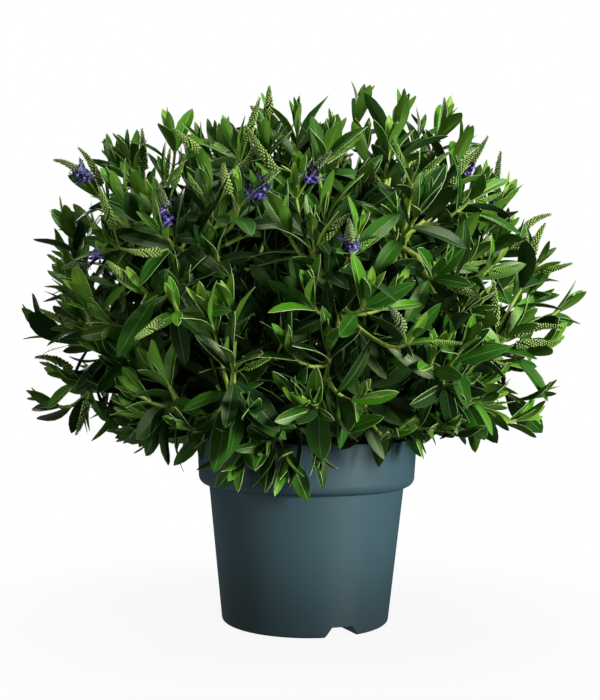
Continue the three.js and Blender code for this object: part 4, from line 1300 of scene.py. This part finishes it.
# ---------------------------------------------------------------- open flowers
# Violet flowers, each a short tube with four spreading lobes and two stamens that stand out of it. They
# open from the foot of a raceme upwards, so the buds above them are still closed.
FLOWER_ACROSS = 9
SMALLEST_FLOWER, FLOWER_SPREAD = 0.8, 0.4  # of that, and what chance can add
LOBES = 4
TUBE_RADIUS, MOUTH_RADIUS, TUBE_LENGTH = 0.12, 0.3, 0.7  # in half widths of the flower
LOBE_STEPS = [  # how far out and up each step goes, and by how much it widens and thickens the lobe
    (0.3, 0.3, 2.1, 0.18), (0.3, 0.06, 1.15, 0.9), (0.22, -0.05, 0.3, 0.8),
]
STAMEN_START, STAMEN_REACH = 0.5, 1.9
STAMEN_SPLAY = 0.2  # radians
THREAD_RADIUS, ANTHER_RADIUS = 0.05, 0.09
THROAT_RADIUS, THROAT_TOP = 0.24, 1.0  # within which the flower is pale
DEEP_SHARE = 0.5  # how many flowers are of the darker violet
FLOWER_SMOOTH = 50  # degrees


def draw_lobe(flower, wall):
    """Draws one lobe out of a wall of the tube, step by step."""
    bpy.ops.object.mode_set(mode="EDIT")
    bpy.ops.mesh.select_mode(type="FACE")
    bpy.ops.mesh.select_all(action="DESELECT")
    bpy.ops.object.mode_set(mode="OBJECT")
    face = flower.data.polygons[wall]
    face.select = True
    out = Vector((face.normal.x, face.normal.y, 0)).normalized()
    along = Vector((-out.y, out.x, 0))
    for reach, rise, wide, thick in LOBE_STEPS:
        bpy.ops.object.mode_set(mode="EDIT")
        step = (out.x * reach, out.y * reach, rise)
        bpy.ops.mesh.extrude_region_move(TRANSFORM_OT_translate={"value": step})
        bpy.ops.object.mode_set(mode="OBJECT")
        drawn = [vertex for vertex in flower.data.vertices if vertex.select]
        middle = sum((vertex.co for vertex in drawn), Vector()) / len(drawn)
        for vertex in drawn:
            side = (vertex.co - middle).dot(along)
            vertex.co = vertex.co + along * side * (wide - 1)
            vertex.co.z = middle.z + (vertex.co.z - middle.z) * thick


def model_flower():
    """A flower that faces +Z, its half width 1: four lobes drawn out of a tube, and two stamens."""
    tube = {"vertices": 2 * LOBES, "radius1": TUBE_RADIUS, "radius2": MOUTH_RADIUS, "depth": TUBE_LENGTH}
    flower = start_piece(bpy.ops.mesh.primitive_cone_add, **tube, location=(0, 0, TUBE_LENGTH / 2))
    walls = [face.index for face in flower.data.polygons if len(face.vertices) == 4]
    for wall in walls[::2]:
        draw_lobe(flower, wall)
    length = STAMEN_REACH - STAMEN_START
    thread = {"vertices": 3, "radius1": THREAD_RADIUS, "radius2": ANTHER_RADIUS, "depth": length}
    stamens = []
    for side in (-1, 1):
        thread["location"] = (TUBE_RADIUS * side, 0, STAMEN_START + length / 2)
        thread["rotation"] = (0, STAMEN_SPLAY * side, 0)
        stamens.append(start_piece(bpy.ops.mesh.primitive_cone_add, **thread))
    choose(flower)
    for stamen in stamens:
        stamen.select_set(True)
    bpy.ops.object.join()
    return flower


flower_blank, flower_faces, _ = blank_of(model_flower())
flower_blank = flower_blank[:, [2, 0, 1]]
middles = flower_blank[flower_faces].mean(1)
from_axis = np.hypot(middles[:, 1], middles[:, 2])
in_throat = (from_axis < THROAT_RADIUS) & (middles[:, 0] <= THROAT_TOP)

roots, ways, axes, numbers = map(np.array, zip(*open_buds))
sides = unit(np.cross(ways, axes))
ups = np.cross(ways, sides)
spin = np.array([2 * math.pi * chance(number, 35) for number in numbers])[:, None]
sides, ups = sides * np.cos(spin) + ups * np.sin(spin), ups * np.cos(spin) - sides * np.sin(spin)
scales = [SMALLEST_FLOWER + FLOWER_SPREAD * chance(number, 36) for number in numbers]
sizes = FLOWER_ACROSS / 2 * np.array(scales)
corners, triangles = stamped(placed(flower_blank, sizes, roots, ways, sides, ups), flower_faces)
darker = np.array([chance(number, 37) < DEEP_SHARE for number in numbers]).astype(int)
kinds = np.where(in_throat[None], 2, darker[:, None]).ravel()

# Petals are soft and matt: violet, deeper as they age, and pale in the throat, which lights the flower.
petals = [
    new_material(name, colour, Roughness=0.5)[0]
    for name, colour in (
        ("violet_petals", "#6b57bd"), ("deep_violet_petals", "#2d1f6c"), ("pale_throat", "#c2b8e4")
    )
]
flower_piece = make_piece("open_flowers", corners * MM, triangles, petals, FLOWER_SMOOTH, kinds)
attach(flower_piece, "root")
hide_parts(*foliage_nodes)
